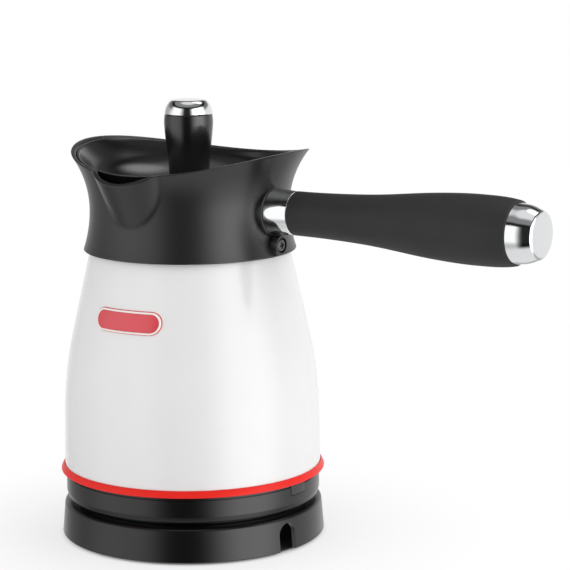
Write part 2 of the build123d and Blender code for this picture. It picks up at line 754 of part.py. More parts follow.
with BuildPart() as coupler_screws:
    posts(2, coupler_ear_pitch_radius, 90, small_screw_head_radius,
          ear_bottom_z - screw_head_height, ear_bottom_z)
    posts(2, coupler_ear_pitch_radius, 90, small_screw_radius, ear_bottom_z,
          vessel_bottom_z - vessel_wall)
save(coupler_screws, "coupler_screws")

with BuildPart() as thermostat_disc:
    with BuildSketch(Plane.XY.offset(coupler_top_z)):
        with Locations((0, thermostat_offset)):
            Circle(thermostat_radius)
    extrude(amount=thermostat_thickness)
save(thermostat_disc, "thermostat_disc")

with BuildPart() as thermostat_pin:
    pin_tip_z = coupler_bottom_z + thermostat_pin_recess
    with BuildSketch(Plane.XY.offset(pin_tip_z)):
        with Locations((0, thermostat_offset)):
            Circle(thermostat_pin_radius)
    extrude(amount=coupler_top_z - pin_tip_z)
save(thermostat_pin, "thermostat_pin")

with BuildPart() as terminal_links:
    link_inner_reach = math.sqrt(coupler_radius**2 - element_pin_length**2)
    for angle, side in ((element_start, 1), (element_start + element_arc, -1)):
        link_plane = upright(angle).offset(side * element_pin_length)
        with BuildSketch(link_plane):
            with Locations(((link_inner_reach + link_outer_reach) / 2, element_z)):
                Rectangle(link_outer_reach - link_inner_reach, link_width)
        extrude(amount=side * link_thickness)
save(terminal_links, "terminal_links")

# ================================================================ collar
pad_inner_x = vessel_top_radius - nut_gap - nut_thickness - pad_wall
pad_top_z = handle_z + nut_radius + pad_wall
tab_top_z = handle_z + bracket_top_above_axis


def spout_form(start, wall):
    """The leaning cone of the spout, or of its channel when a wall is taken off."""
    sections = []
    for height in (start, spout_top_height):
        rise = height - spout_root_height
        with BuildSketch(Plane.XY.offset(collar_bottom_z + height)) as section:
            with Locations((0, -(spout_root_centre + spout_lean * rise))):
                Circle(spout_root_radius + spout_widening * rise - wall)
        sections.append(section.sketch)
    return loft(sections, mode=Mode.PRIVATE)


def lip_plane():
    """The plane that the spout's lip lies in, falling outward."""
    fall = math.radians(spout_lip_slope)
    tip = (0, -spout_tip_radius, collar_bottom_z + spout_tip_height)
    return Plane(origin=tip, x_dir=(1, 0, 0), z_dir=(0, -math.sin(fall), math.cos(fall)))


with BuildPart() as collar:
    with BuildSketch(Plane.XZ):
        with BuildLine():
            lower_turn = math.degrees(math.asin(collar_waist_height / collar_lower_round))
            flare_turn = flare_angle(stock_top_z, 0)
            Line((0, stock_top_z), (0, collar_bottom_z))
            foot_radius = (collar_waist_radius + collar_lower_round
                           - collar_lower_round * math.cos(math.radians(lower_turn)))
            Line((0, collar_bottom_z), (foot_radius, collar_bottom_z))
            CenterArc((collar_waist_radius + collar_lower_round, waist_z), collar_lower_round,
                      180 + lower_turn, -lower_turn)
            CenterArc((flare_centre_radius, waist_z), collar_flare_round, 180, -flare_turn)
            Line((flare_radius(stock_top_z, 0), stock_top_z), (0, stock_top_z))
        make_face()
    revolve(axis=Axis.Z)
    add(split(spout_form(spout_root_height, 0), bisect_by=lip_plane(), keep=Keep.BOTTOM,
              mode=Mode.PRIVATE))
    along_handle(handle_boss_radius, collar_bore_radius - pad_wall, handle_boss_face)
    along_handle(collar_screw_boss_radius, collar_bore_radius, collar_screw_boss_face, collar_screw_z)
    with BuildSketch(Plane.XZ):
        with BuildLine():
            inner_turn_low = flare_angle(ledge_z, collar_flare_wall)
            inner_turn_top = flare_angle(stock_top_z, collar_flare_wall)
            lip_top_z = collar_bottom_z + collar_lip_height
            Polyline(
                (0, stock_top_z),
                (0, collar_bottom_z),
                (cone_radius(collar_bottom_z) + collar_lip_gap, collar_bottom_z),
                (cone_radius(lip_top_z) + collar_lip_gap, lip_top_z),
                (cone_radius(lip_top_z) + collar_pocket_gap, lip_top_z),
                (cone_radius(pocket_top_z) + collar_pocket_gap, pocket_top_z),
                (collar_bore_radius, pocket_top_z),
                (collar_bore_radius, ledge_z),
                (flare_radius(ledge_z, collar_flare_wall), ledge_z),
            )
            CenterArc((flare_centre_radius, waist_z), collar_flare_round + collar_flare_wall,
                      180 - inner_turn_low, inner_turn_low - inner_turn_top)
            Line((flare_radius(stock_top_z, collar_flare_wall), stock_top_z), (0, stock_top_z))
        make_face()
    revolve(axis=Axis.Z, mode=Mode.SUBTRACT)
    add(spout_form(spout_floor_height, spout_wall), mode=Mode.SUBTRACT)
    with BuildSketch(Plane.XY.offset(pocket_top_z)):
        with Locations(((pad_inner_x + collar_bore_radius + pad_wall) / 2, 0)):
            Rectangle(collar_bore_radius + pad_wall - pad_inner_x, 2 * pad_half_width)
    extrude(amount=pad_top_z - pocket_top_z)
    sector(bracket_inner_radius - bracket_slot_gap, bracket_outer_radius + bracket_slot_gap,
           vessel_top_z, tab_top_z + bracket_slot_gap, 0, bracket_half_angle + bracket_slot_turn,
           mode=Mode.SUBTRACT)
    with BuildSketch(Plane.YZ.offset(pad_inner_x + pad_wall)):
        with Locations((0, handle_z)):
            Circle(nut_radius + bracket_slot_gap)
        with Locations((0, (pocket_top_z + handle_z) / 2)):
            Rectangle(2 * nut_radius + 2 * bracket_slot_gap, handle_z - pocket_top_z)
    extrude(amount=nut_thickness + nut_gap + bracket_slot_gap, mode=Mode.SUBTRACT)
    along_handle(bolt_radius + bolt_clearance, bracket_inner_radius, handle_boss_face, mode=Mode.SUBTRACT)
    along_handle(screw_radius + screw_clearance, cone_radius(collar_screw_z), collar_screw_boss_face,
                 collar_screw_z, mode=Mode.SUBTRACT)
    along_handle(collar_screw_recess_radius, collar_screw_boss_face - collar_screw_recess_depth,
                 collar_screw_boss_face, collar_screw_z, mode=Mode.SUBTRACT)
    extrude(to_extrude=rim_cutter(0), amount=cutter_height, dir=(0, 0, 1), mode=Mode.SUBTRACT)
save(collar, "collar")

with BuildPart() as collar_seal:
    seal_inner_radius = vessel_top_radius - vessel_wall
    tube(seal_inner_radius, seal_inner_radius + seal_width, vessel_top_z, pocket_top_z)
    sector(bracket_inner_radius - bracket_slot_gap, bracket_outer_radius + bracket_slot_gap,
           vessel_top_z, pocket_top_z, 0, bracket_half_angle + bracket_slot_turn, mode=Mode.SUBTRACT)
save(collar_seal, "collar_seal")

with BuildPart() as neck_bracket:
    bracket_foot_z = collar_bottom_z + bracket_foot_height
    with BuildSketch(upright(-bracket_half_angle)):
        with BuildLine():
            Polyline(
                (cone_radius(bracket_foot_z), bracket_foot_z),
                (bracket_inner_radius, vessel_top_z),
                (bracket_inner_radius, tab_top_z),
                (bracket_outer_radius, tab_top_z),
                (bracket_outer_radius, vessel_top_z),
                (cone_radius(bracket_foot_z) + bracket_thickness, bracket_foot_z),
                close=True,
            )
        make_face()
    revolve(axis=Axis.Z, revolution_arc=2 * bracket_half_angle)
    along_handle(bolt_radius, bracket_inner_radius - bracket_thickness, handle_boss_face,
                 mode=Mode.SUBTRACT)
    along_handle(screw_radius, cone_radius(collar_screw_z) - bracket_thickness, handle_boss_face,
                 collar_screw_z, mode=Mode.SUBTRACT)
save(neck_bracket, "neck_bracket")

with BuildPart() as bracket_nut:
    with BuildSketch(Plane.YZ.offset(pad_inner_x + pad_wall)):
        with Locations((0, handle_z)):
            RegularPolygon(radius=nut_radius, side_count=6)
            Circle(bolt_radius, mode=Mode.SUBTRACT)
    extrude(amount=nut_thickness)
save(bracket_nut, "bracket_nut")

with BuildPart() as collar_screw:
    seat_x = collar_screw_boss_face - collar_screw_recess_depth
    tip_x = cone_radius(collar_screw_z - screw_radius) + collar_screw_tip_gap
    along_handle(screw_radius, tip_x, seat_x, collar_screw_z)
    along_handle(collar_screw_head_radius, seat_x, seat_x + collar_screw_head_height, collar_screw_z)
    fillet(faces().sort_by(Axis.X)[-1].edges(), screw_head_round)
    with BuildSketch(Plane.YZ.offset(seat_x + collar_screw_head_height)):
        with Locations((0, collar_screw_z)):
            cross_slot(collar_screw_head_radius)
    extrude(amount=-driver_slot_depth, mode=Mode.SUBTRACT)
save(collar_screw, "collar_screw")

# ================================================================ handle
with BuildPart() as handle_ferrule:
    with BuildSketch(Plane.YZ.offset(handle_boss_face)):
        with Locations((0, handle_z)):
            Circle(ferrule_root_radius)
    with BuildSketch(Plane.YZ.offset(ferrule_end_x)):
        with Locations((0, handle_z)):
            Circle(ferrule_end_radius)
    loft()
    along_handle(bolt_radius + bolt_clearance, handle_boss_face, ferrule_end_x, mode=Mode.SUBTRACT)
save(handle_ferrule, "handle_ferrule")

handle_axis = Axis((0, 0, handle_z), (1, 0, 0))
with BuildPart() as handle_grip:
    end_lean = math.radians(grip_end_lean)
    with BuildSketch(Plane.XZ):
        with BuildLine():
            Line((grip_end_x, handle_z), (ferrule_end_x, handle_z))
            Line((ferrule_end_x, handle_z), (ferrule_end_x, handle_z + grip_neck_radius))
            Spline(
                (ferrule_end_x, handle_z + grip_neck_radius),
                (ferrule_end_x + grip_taper_at, handle_z + grip_taper_radius),
                (ferrule_end_x + grip_swell_at, handle_z + grip_swell_radius),
                (ferrule_end_x + grip_belly_at, handle_z + grip_belly_radius),
                (grip_end_x, handle_z + grip_end_radius),
                tangents=[(1, 0), (math.cos(end_lean), math.sin(end_lean))],
            )
            Line((grip_end_x, handle_z + grip_end_radius), (grip_end_x, handle_z))
        make_face()
    revolve(axis=handle_axis)
    fillet(faces().sort_by(Axis.X)[-1].edges(), grip_end_round)
    along_handle(bolt_radius + bolt_clearance, ferrule_end_x, grip_end_x, mode=Mode.SUBTRACT)
    along_handle(washer_radius + head_pocket_gap, bolt_seat_x, grip_end_x, mode=Mode.SUBTRACT)
    along_handle(cap_spigot_radius, grip_end_x - cap_spigot_length, grip_end_x, mode=Mode.SUBTRACT)
save(handle_grip, "handle_grip")

with BuildPart() as handle_end_cap:
    cap_rim_x = grip_end_x + cap_taper_length
    with BuildSketch(Plane.XZ):
        with BuildLine():
            Line((grip_end_x, handle_z), (grip_end_x, handle_z + cap_radius))
            ThreePointArc(
                (grip_end_x, handle_z + cap_radius),
                (grip_end_x + cap_taper_length / 2,
                 handle_z + (cap_radius + cap_disc_radius) / 2 + cap_bulge),
                (cap_rim_x, handle_z + cap_disc_radius),
            )
            dome_radius = (cap_disc_radius**2 + cap_dome**2) / (2 * cap_dome)
            dome_turn = math.degrees(math.asin(cap_disc_radius / dome_radius))
            CenterArc((cap_rim_x + cap_dome - dome_radius, handle_z), dome_radius, dome_turn, -dome_turn)
            Line((cap_rim_x + cap_dome, handle_z), (grip_end_x, handle_z))
        make_face()
    revolve(axis=handle_axis)
    along_handle(cap_spigot_radius, grip_end_x - cap_spigot_length, grip_end_x)
    along_handle(cap_spigot_radius - cap_spigot_wall, grip_end_x - cap_spigot_length, grip_end_x,
                 mode=Mode.SUBTRACT)
save(handle_end_cap, "handle_end_cap")

with BuildPart() as handle_bolt:
    head_x = bolt_seat_x + washer_thickness
    along_handle(bolt_radius, pad_inner_x + pad_wall + bolt_tail, head_x)
    along_handle(bolt_head_radius, head_x, head_x + bolt_head_height)
    with BuildSketch(Plane.YZ.offset(head_x + bolt_head_height)):
        with Locations((0, handle_z)):
            RegularPolygon(radius=bolt_radius, side_count=6)
    extrude(amount=-bolt_head_height / 2, mode=Mode.SUBTRACT)
save(handle_bolt, "handle_bolt")

with BuildPart() as handle_washer:
    with BuildSketch(Plane.YZ.offset(bolt_seat_x)):
        with Locations((0, handle_z)):
            Circle(washer_radius)
            Circle(bolt_radius, mode=Mode.SUBTRACT)
    extrude(amount=washer_thickness)
save(handle_washer, "handle_washer")

# ================================================================ lid
with BuildPart() as lid_dish:
    skin = collar_flare_wall + lid_gap
    inner_skin = skin + lid_edge_wall
    seat_outer_radius = flare_radius(ledge_z, skin)
    seat_inner_radius = collar_bore_radius - lid_seat_bore_gap
    join_z = ledge_z + lid_wall_join_height
    join_radius = flare_radius(join_z, inner_skin)
    join_turn = math.radians(flare_angle(join_z, inner_skin))
    under_mid = (lid_dish_mid_radius, dish_z + lid_dish_mid_rise - lid_wall)
    seat_lean = math.radians(lid_seat_lean)
    with BuildSketch(Plane.XZ):
        with BuildLine():
            Line((0, dish_z), (0, dish_z - lid_wall))
            Line((0, dish_z - lid_wall), (lid_dish_flat_radius, dish_z - lid_wall))
            Spline(
                (lid_dish_flat_radius, dish_z - lid_wall),
                under_mid,
                (seat_inner_radius, ledge_z),
                tangents=[(1, 0), (math.cos(seat_lean), math.sin(seat_lean))],
            )
            Line((seat_inner_radius, ledge_z), (seat_outer_radius, ledge_z))
            CenterArc((flare_centre_radius, waist_z), collar_flare_round + skin,
                      180 - flare_angle(ledge_z, skin),
                      flare_angle(ledge_z, skin) - flare_angle(stock_top_z, skin))
            Line((flare_radius(stock_top_z, skin), stock_top_z),
                 (flare_radius(stock_top_z, inner_skin), stock_top_z))
            CenterArc((flare_centre_radius, waist_z), collar_flare_round + inner_skin,
                      180 - flare_angle(stock_top_z, inner_skin),
                      flare_angle(stock_top_z, inner_skin) - flare_angle(join_z, inner_skin))
            Spline(
                (join_radius, join_z),
                (lid_dish_mid_radius, dish_z + lid_dish_mid_rise),
                (lid_dish_flat_radius, dish_z),
                tangents=[(-math.sin(join_turn), -math.cos(join_turn)), (-1, 0)],
            )
            Line((lid_dish_flat_radius, dish_z), (0, dish_z))
        make_face()
    revolve(axis=Axis.Z)
    extrude(to_extrude=rim_cutter(lid_edge_drop), amount=cutter_height, dir=(0, 0, 1),
            mode=Mode.SUBTRACT)
    tube(0, lid_screw_radius, dish_z - lid_wall, dish_z, mode=Mode.SUBTRACT)
save(lid_dish, "lid_dish")

with BuildPart() as lid_knob:
    with BuildSketch(Plane.XZ):
        with BuildLine():
            Line((0, knob_top_z), (0, dish_z))
            Line((0, dish_z), (knob_base_radius, dish_z))
            Spline(
                (knob_base_radius, dish_z),
                (knob_waist_radius, dish_z + knob_waist_at),
                (knob_belly_radius, dish_z + knob_belly_at),
                (knob_top_radius, knob_top_z),
            )
            Line((knob_top_radius, knob_top_z), (0, knob_top_z))
        make_face()
    revolve(axis=Axis.Z)
    tube(0, knob_spigot_radius, knob_top_z - knob_spigot_length, knob_top_z, mode=Mode.SUBTRACT)
    tube(0, lid_screw_radius, dish_z, dish_z + lid_screw_length, mode=Mode.SUBTRACT)
save(lid_knob, "lid_knob")

with BuildPart() as lid_knob_cap:
    cap_top_z = knob_top_z + knob_cap_height
    with BuildSketch(Plane.XZ):
        with BuildLine():
            Polyline(
                (0, cap_top_z),
                (0, knob_top_z - knob_spigot_length),
                (knob_spigot_radius, knob_top_z - knob_spigot_length),
                (knob_spigot_radius, knob_top_z),
                (knob_top_radius, knob_top_z),
            )
            Spline(
                (knob_top_radius, knob_top_z),
                (knob_cap_shoulder_radius, knob_top_z + knob_cap_shoulder_height),
                (knob_cap_flat_radius, cap_top_z),
                tangents=[(-0.1, 1), (-1, 0.12)],
            )
            Line((knob_cap_flat_radius, cap_top_z), (0, cap_top_z))
        make_face()
    revolve(axis=Axis.Z)
save(lid_knob_cap, "lid_knob_cap")

with BuildPart() as lid_screw:
    head_top_z = dish_z - lid_wall
    tube(0, lid_screw_head_radius, head_top_z - lid_screw_head_height, head_top_z)
    tube(0, lid_screw_radius, head_top_z, dish_z + lid_screw_length)
    with BuildSketch(Plane.XY.offset(head_top_z - lid_screw_head_height)):
        cross_slot(lid_screw_head_radius)
    extrude(amount=driver_slot_depth, mode=Mode.SUBTRACT)
save(lid_screw, "lid_screw")

# ================================================================ badge
badge_z = vessel_bottom_z + badge_above_floor
badge_plane = Plane(origin=(0, 0, badge_z), x_dir=upright(badge_angle - 90).x_dir,
                    z_dir=upright(badge_angle).x_dir)


def badge_layer(inner_height, outer_height, margin):
    """A pill-shaped piece of the skin between two heights over the vessel's cone."""
    low_z = badge_z - badge_height
    high_z = badge_z + badge_height
    with BuildSketch(Plane.XZ) as band:
        with BuildLine():
            Polyline(
                (cone_radius(low_z) + inner_height, low_z),
                (cone_radius(low_z) + outer_height, low_z),
                (cone_radius(high_z) + outer_height, high_z),
                (cone_radius(high_z) + inner_height, high_z),
                close=True,
            )
        make_face()
    skin_band = revolve(band.sketch, axis=Axis.Z, mode=Mode.PRIVATE)
    with BuildSketch(badge_plane) as pill:
        SlotOverall(badge_width - 2 * margin, badge_height - 2 * margin)
    prism = extrude(to_extrude=pill.sketch, amount=vessel_foot_radius, mode=Mode.PRIVATE)
    return skin_band & prism


with BuildPart() as badge_plate:
    add(badge_layer(0, badge_thickness, 0))
    add(badge_layer(badge_thickness - badge_recess, badge_thickness, badge_border), mode=Mode.SUBTRACT)
save(badge_plate, "badge_plate")

with BuildPart() as badge_inlay:
    inlay_floor = badge_thickness - badge_recess
    add(badge_layer(inlay_floor, inlay_floor + badge_inlay_thickness, badge_border))
save(badge_inlay, "badge_inlay")
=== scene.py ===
# %% [markdown]
# # Electric turkish coffee maker
# A cordless pot stands on a round base that carries the contacts. The pot is an enamelled steel
# vessel with a red ring at its foot, a black plastic collar with a pouring spout, a long handle
# and a dished lid with a knob.
#
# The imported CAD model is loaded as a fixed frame. It says where every part is and what moves
# with what, so a piece made here needs no fitting: it is modelled in metres, at its own place.

# %% Load the frame
import json
import math

import bmesh
import bpy
from mathutils import Matrix, Vector
from mathutils.geometry import interpolate_bezier


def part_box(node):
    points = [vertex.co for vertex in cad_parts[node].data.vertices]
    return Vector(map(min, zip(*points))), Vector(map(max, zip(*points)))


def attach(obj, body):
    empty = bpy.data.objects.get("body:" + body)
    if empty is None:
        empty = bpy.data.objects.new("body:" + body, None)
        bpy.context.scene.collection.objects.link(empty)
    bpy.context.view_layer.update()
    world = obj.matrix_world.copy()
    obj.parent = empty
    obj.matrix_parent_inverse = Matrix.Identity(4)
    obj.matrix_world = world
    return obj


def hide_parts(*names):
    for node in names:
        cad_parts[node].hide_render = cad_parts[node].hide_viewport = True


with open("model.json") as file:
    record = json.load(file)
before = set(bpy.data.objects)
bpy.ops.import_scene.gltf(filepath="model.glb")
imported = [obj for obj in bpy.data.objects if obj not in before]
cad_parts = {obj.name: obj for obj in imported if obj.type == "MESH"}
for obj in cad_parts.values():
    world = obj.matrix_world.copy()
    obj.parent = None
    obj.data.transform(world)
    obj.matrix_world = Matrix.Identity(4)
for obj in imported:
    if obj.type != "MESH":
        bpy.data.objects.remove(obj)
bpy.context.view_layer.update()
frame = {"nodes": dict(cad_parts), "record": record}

MM = 0.001

# %% [markdown]
# ## Camera
# A product picture is taken with a long lens from a good metre away, a little above the object,
# so that round parts keep their proportions. The camera is placed by two angles round a point
# inside the object, which is easier to adjust than a position typed in by hand.

# %% Camera
def placed(name, data):
    """A new object in the scene that holds a camera, a lamp or a mesh."""
    made = bpy.data.objects.new(name, data)
    bpy.context.scene.collection.objects.link(made)
    return made


camera_azimuth = math.radians(34.0)
camera_elevation = math.radians(10.1)
camera_roll = math.radians(-0.36)
camera_distance = 1.0417
camera_target = Vector((35.4, 23.85, 113.5)) * MM

to_camera = Vector((
    math.sin(camera_azimuth) * math.cos(camera_elevation),
    -math.cos(camera_azimuth) * math.cos(camera_elevation),
    math.sin(camera_elevation),
))
camera_data = bpy.data.cameras.new("camera")
camera_data.lens = 145.26
camera_data.sensor_width = 36
camera = placed("camera", camera_data)
aim = (-to_camera).to_track_quat("-Z", "Y").to_matrix().to_4x4()
camera.matrix_world = (
    Matrix.Translation(camera_target + camera_distance * to_camera)
    @ aim
    @ Matrix.Rotation(camera_roll, 4, "Z")
)
bpy.context.scene.camera = camera
bpy.context.scene.view_settings.view_transform = "Standard"
print("camera at", [round(x, 3) for x in camera.matrix_world.translation])

# %% [markdown]
# ## Shader maths as Python
# A procedural material is arithmetic on patterns, and wiring Math nodes by hand hides it. This
# class wraps one socket. An operator on it adds the Math node that does the sum, and `node`
# adds any other kind of node: its settings first, then the values or links of its sockets.

# %% A class for shader maths
class Wire:
    """One output socket of a node tree, with Python's operators for maths on it."""

    def __init__(self, tree, socket=None):
        self.tree = tree
        self.socket = socket

    def node(self, kind, settings=None, sockets=None, output=0):
        made = self.tree.nodes.new(kind)
        for name, value in (settings or {}).items():
            setattr(made, name, value)
        for key, value in (sockets or {}).items():
            if isinstance(value, Wire):
                self.tree.links.new(value.socket, made.inputs[key])
            else:
                made.inputs[key].default_value = value
        return Wire(self.tree, made.outputs[output] if made.outputs else None)

    def math(self, operation, *values):
        return self.node("ShaderNodeMath", {"operation": operation}, dict(enumerate(values)))

    def vector(self, operation, *values, output="Value"):
        return self.node("ShaderNodeVectorMath", {"operation": operation}, dict(enumerate(values)), output)

    def ray(self, kind):
        """1 for rays of one kind, such as Camera or Glossy, and 0 for all others."""
        return self.node("ShaderNodeLightPath", output=f"Is {kind} Ray")

    def __add__(self, other):
        return self.math("ADD", self, other)

    __radd__ = __add__

    def __sub__(self, other):
        return self.math("SUBTRACT", self, other)

    def __rsub__(self, other):
        return self.math("SUBTRACT", other, self)

    def __mul__(self, other):
        return self.math("MULTIPLY", self, other)

    def __gt__(self, other):
        return self.math("GREATER_THAN", self, other)

    def __lt__(self, other):
        return self.math("LESS_THAN", self, other)

    def between(self, low, high, start=0.0, end=1.0):
        """Goes smoothly from start to end while the value goes from low to high."""
        return self.node("ShaderNodeMapRange", {"interpolation_type": "SMOOTHSTEP"},
                         {0: self, 1: low, 2: high, 3: start, 4: end})

    def blend(self, first, second):
        """A colour: first where the value is 0 and second where it is 1."""
        return self.node("ShaderNodeMix", {"data_type": "RGBA"}, {0: self, 6: first, 7: second}, output=2)


def fresh_tree(owner):
    """Empties the node tree of a world or a material and wraps it."""
    owner.use_nodes = True
    owner.node_tree.nodes.clear()
    return Wire(owner.node_tree)


def grey(value):
    return (value, value, value, 1)


print("shader maths ready")

# %% [markdown]
# ## Studio light
# Shiny black plastic and chrome show their surroundings more than their own colour, so the
# surroundings are part of the look. The world holds a room for them: a bright soft box on the
# right, a weaker one on the left, a third behind and overhead, a pale table and zenith, and a dark
# gap at the camera. The camera itself sees plain white, and matt surfaces get an even light that
# is weaker from above. Three area lamps add a direction to the shading. They are hidden from
# reflections, because the room already holds the boxes.

# %% World
room_white = 1.0
fill_level = 1.0
fill_from_above = 0.55
right_box_level = 2.95
left_box_level = 1.2
left_wall_level = 0.45
behind_level = 0.9
behind_top_level = 0.2
gap_level = 0.02
table_level = 0.85
ceiling_edge_level = 0.015
ceiling_level = 0.25
zenith_level = 0.85
back_box_level = 2.3

# Where one zone of the room goes over into the next: bearings in degrees ...
right_box_end = 64, 98
left_box_start = -115, -72
left_wall_end = -165, -135
gap_right_edge = 6, 46
gap_left_edge = -46, -16
back_start = 80, 105
# ... and heights from -1 straight down to 1 straight up.
back_dimming = 0.22, 0.38
table_edge = -0.84, -0.62
table_shade = -0.60, -0.30
ceiling_start = 0.50, 0.60
ceiling_rise = 0.66, 0.76
zenith_start = 0.88, 0.97
back_box_focus = 0.95, 0.995

world = bpy.data.worlds.new("studio")
bpy.context.scene.world = world
room = fresh_tree(world)
toward = room.node("ShaderNodeTexCoord", output="Generated")


def looking(bearing_degrees, elevation_degrees):
    """The direction at a bearing to the right of the camera's and an elevation."""
    turn = camera_azimuth + math.radians(bearing_degrees)
    rise = math.radians(elevation_degrees)
    return Vector((math.sin(turn) * math.cos(rise), -math.cos(turn) * math.cos(rise), math.sin(rise)))


def along(direction):
    """How far a ray of the world points along a direction, from -1 to 1."""
    return room.vector("DOT_PRODUCT", toward, direction)


flat_to_camera = Vector((math.sin(camera_azimuth), -math.cos(camera_azimuth), 0))
flat_right = Vector((math.cos(camera_azimuth), math.sin(camera_azimuth), 0))
height = along((0, 0, 1))
bearing = room.math("ARCTAN2", along(flat_right), along(flat_to_camera)) * (180 / math.pi)

right_side = behind_level + bearing.between(*right_box_end, 1, 0) * (right_box_level - behind_level)
left_side = left_wall_level + bearing.between(*left_box_start) * (left_box_level - left_wall_level)
left_side = left_side + bearing.between(*left_wall_end, 1, 0) * (behind_level - left_wall_level)
walls = gap_level + bearing.between(*gap_right_edge) * (right_side - gap_level)
walls = walls + bearing.between(*gap_left_edge, 1, 0) * (left_side - gap_level)
back_top = height.between(*back_dimming) * room.math("ABSOLUTE", bearing).between(*back_start)
walls = walls * (1 - back_top) + back_top * behind_top_level
table = height.between(*table_edge, 1, 0)
walls = walls * height.between(*table_shade, 0.5, 1) * (1 - table) + table * table_level
ceiling_edge = height.between(*ceiling_start)
ceiling = height.between(*ceiling_rise, ceiling_edge_level, ceiling_level)
ceiling = ceiling + height.between(*zenith_start) * (zenith_level - ceiling_level)
back_box = along(looking(125, 60)).between(*back_box_focus)
reflected = walls * (1 - ceiling_edge) + ceiling * ceiling_edge + back_box * back_box_level

is_glossy = room.ray("Glossy")
seen_white = room.math("MAXIMUM", room.ray("Camera"), room.ray("Transmission"))
fill = height.between(0.1, 0.9, fill_level, fill_from_above)
level = seen_white * room_white + (1 - seen_white) * (is_glossy * reflected + (1 - is_glossy) * fill)
background = room.node("ShaderNodeBackground", None, {"Color": grey(1), "Strength": level})
room.node("ShaderNodeOutputWorld", None, {"Surface": background})
print("world nodes:", len(world.node_tree.nodes))

# %% Lamps
def soft_lamp(name, bearing_degrees, elevation_degrees, distance, width, power):
    """A square area lamp that looks at the pot, placed by its bearing from the camera."""
    direction = looking(bearing_degrees, elevation_degrees)
    data = bpy.data.lights.new(name, "AREA")
    data.shape = "SQUARE"
    data.size = width
    data.energy = power
    lamp = placed(name, data)
    lamp.location = camera_target + direction * distance
    lamp.rotation_mode = "QUATERNION"
    lamp.rotation_quaternion = direction.to_track_quat("Z", "Y")
    lamp.visible_glossy = False
    return lamp


soft_lamp("lamp_right", 62, 24, 1.2, 0.9, 5.6)
soft_lamp("lamp_left", -75, 22, 1.3, 0.9, 2.0)
soft_lamp("lamp_top", 150, 62, 1.3, 0.8, 2.0)

# %% [markdown]
# ## Floor
# The floor is a pale disc. Near the object it is an ordinary matt surface, so it takes the shadow
# and throws light back up. Right under the stand its colour is painted shade, a dark grey that
# keeps the cord notch black. Further out it turns into plain white for the camera, which hides
# where it ends. Reflections look through it to the room, which keeps its dark gap.

# %% Floor
floor_radius = 1.6
stand_reach = 0.055
stand_reach_fade = 0.003
shadow_reach = 0.0625
shadow_fade = 0.15
shadow_strength = 0.3

floor_mesh = bpy.data.meshes.new("floor")
bm = bmesh.new()
bmesh.ops.create_circle(bm, cap_ends=True, segments=96, radius=floor_radius)
bm.to_mesh(floor_mesh)
bm.free()
floor = placed("floor", floor_mesh)

floor_material = bpy.data.materials.new("floor_white")
paint = fresh_tree(floor_material)
place = paint.node("ShaderNodeTexCoord", output="Object")
from_middle = paint.vector("LENGTH", place)
# Painted shade: within the stand's reach the floor's colour is dark grey, so the cord notch looks black.
painted_shade_to_open = from_middle.between(stand_reach, stand_reach + stand_reach_fade)
floor_colour_with_painted_shade = painted_shade_to_open.blend(grey(0.08), grey(0.92))
matt = paint.node("ShaderNodeBsdfDiffuse", None, {"Color": floor_colour_with_painted_shade})
white = paint.node("ShaderNodeEmission", None, {"Color": grey(1), "Strength": 1.0})
clear = paint.node("ShaderNodeBsdfTransparent")
direct_look = paint.math("MAXIMUM", paint.ray("Camera"), paint.ray("Transmission"))
out_white = (from_middle.between(stand_reach, shadow_reach, 0, 1 - shadow_strength)
             + from_middle.between(shadow_reach, shadow_fade, 0, shadow_strength)) * direct_look
surface = paint.node("ShaderNodeMixShader", None, {0: out_white, 1: matt, 2: white})
surface = paint.node("ShaderNodeMixShader", None, {0: paint.ray("Glossy"), 1: surface, 2: clear})
paint.node("ShaderNodeOutputMaterial", None, {"Surface": surface})
floor_mesh.materials.append(floor_material)
print("floor radius", floor_radius)

# %% [markdown]
# ## Finishes
# Every finish is one Principled surface. What changes over it, such as a slight mottling of the
# colour, smudges in the gloss or the fine grain of a moulding, comes from noise on the object's
# own coordinates in metres, so that it has its real size on every part and needs no unwrapping.

# %% One recipe for all finishes
finishes = {}
bare_extra_roughness = 0.12


def facing_in(start, place, axis_side=-0.001, floor_side=0.6):
    """1 on the faces of a hollow piece that look to its axis or up from its floor."""
    normal = start.node("ShaderNodeTexCoord", output="Normal")
    flat = start.vector("MULTIPLY", place, (1, 1, 0), output="Vector")
    outward = start.vector("DOT_PRODUCT", flat, normal)
    upward = start.node("ShaderNodeSeparateXYZ", None, {0: normal}, output="Z")
    return start.math("MAXIMUM", outward < axis_side, upward > floor_side)


def finish(name, colour, gloss, constants=None, mottle=0.06, mottle_size=0.02, smudge=0.05,
           smudge_size=0.012, grain_size=0.0006, grain_depth=0.000004, bare_inside=None):
    """Adds a Principled material with mottled colour, smudged gloss and a fine grain."""
    material = bpy.data.materials.new(name)
    start = fresh_tree(material)
    place = start.node("ShaderNodeTexCoord", output="Object")

    def noise(size, detail):
        return start.node("ShaderNodeTexNoise", None,
                          {"Vector": place, "Scale": 1 / size, "Detail": detail, "Roughness": 0.55})

    shade = noise(mottle_size, 3).between(0.3, 0.7)
    dark = tuple(c * (1 - mottle) for c in colour) + (1,)
    light = tuple(min(1.0, c * (1 + mottle)) for c in colour) + (1,)
    base = shade.blend(dark, light)
    rough = gloss + (noise(smudge_size, 4) - 0.5) * smudge
    varied = {}
    if bare_inside:
        inside = facing_in(start, place)
        base = inside.blend(base, bare_inside)
        rough = rough + inside * bare_extra_roughness
        varied["Metallic"] = inside
    grain = noise(grain_size, 2)
    bump = start.node("ShaderNodeBump", None, {"Height": grain, "Strength": 1.0, "Distance": grain_depth})
    sockets = {"Base Color": base, "Roughness": rough, "Normal": bump, **varied, **(constants or {})}
    surface = start.node("ShaderNodeBsdfPrincipled", None, sockets)
    start.node("ShaderNodeOutputMaterial", None, {"Surface": surface})
    finishes[name] = material


print("finish recipe ready")

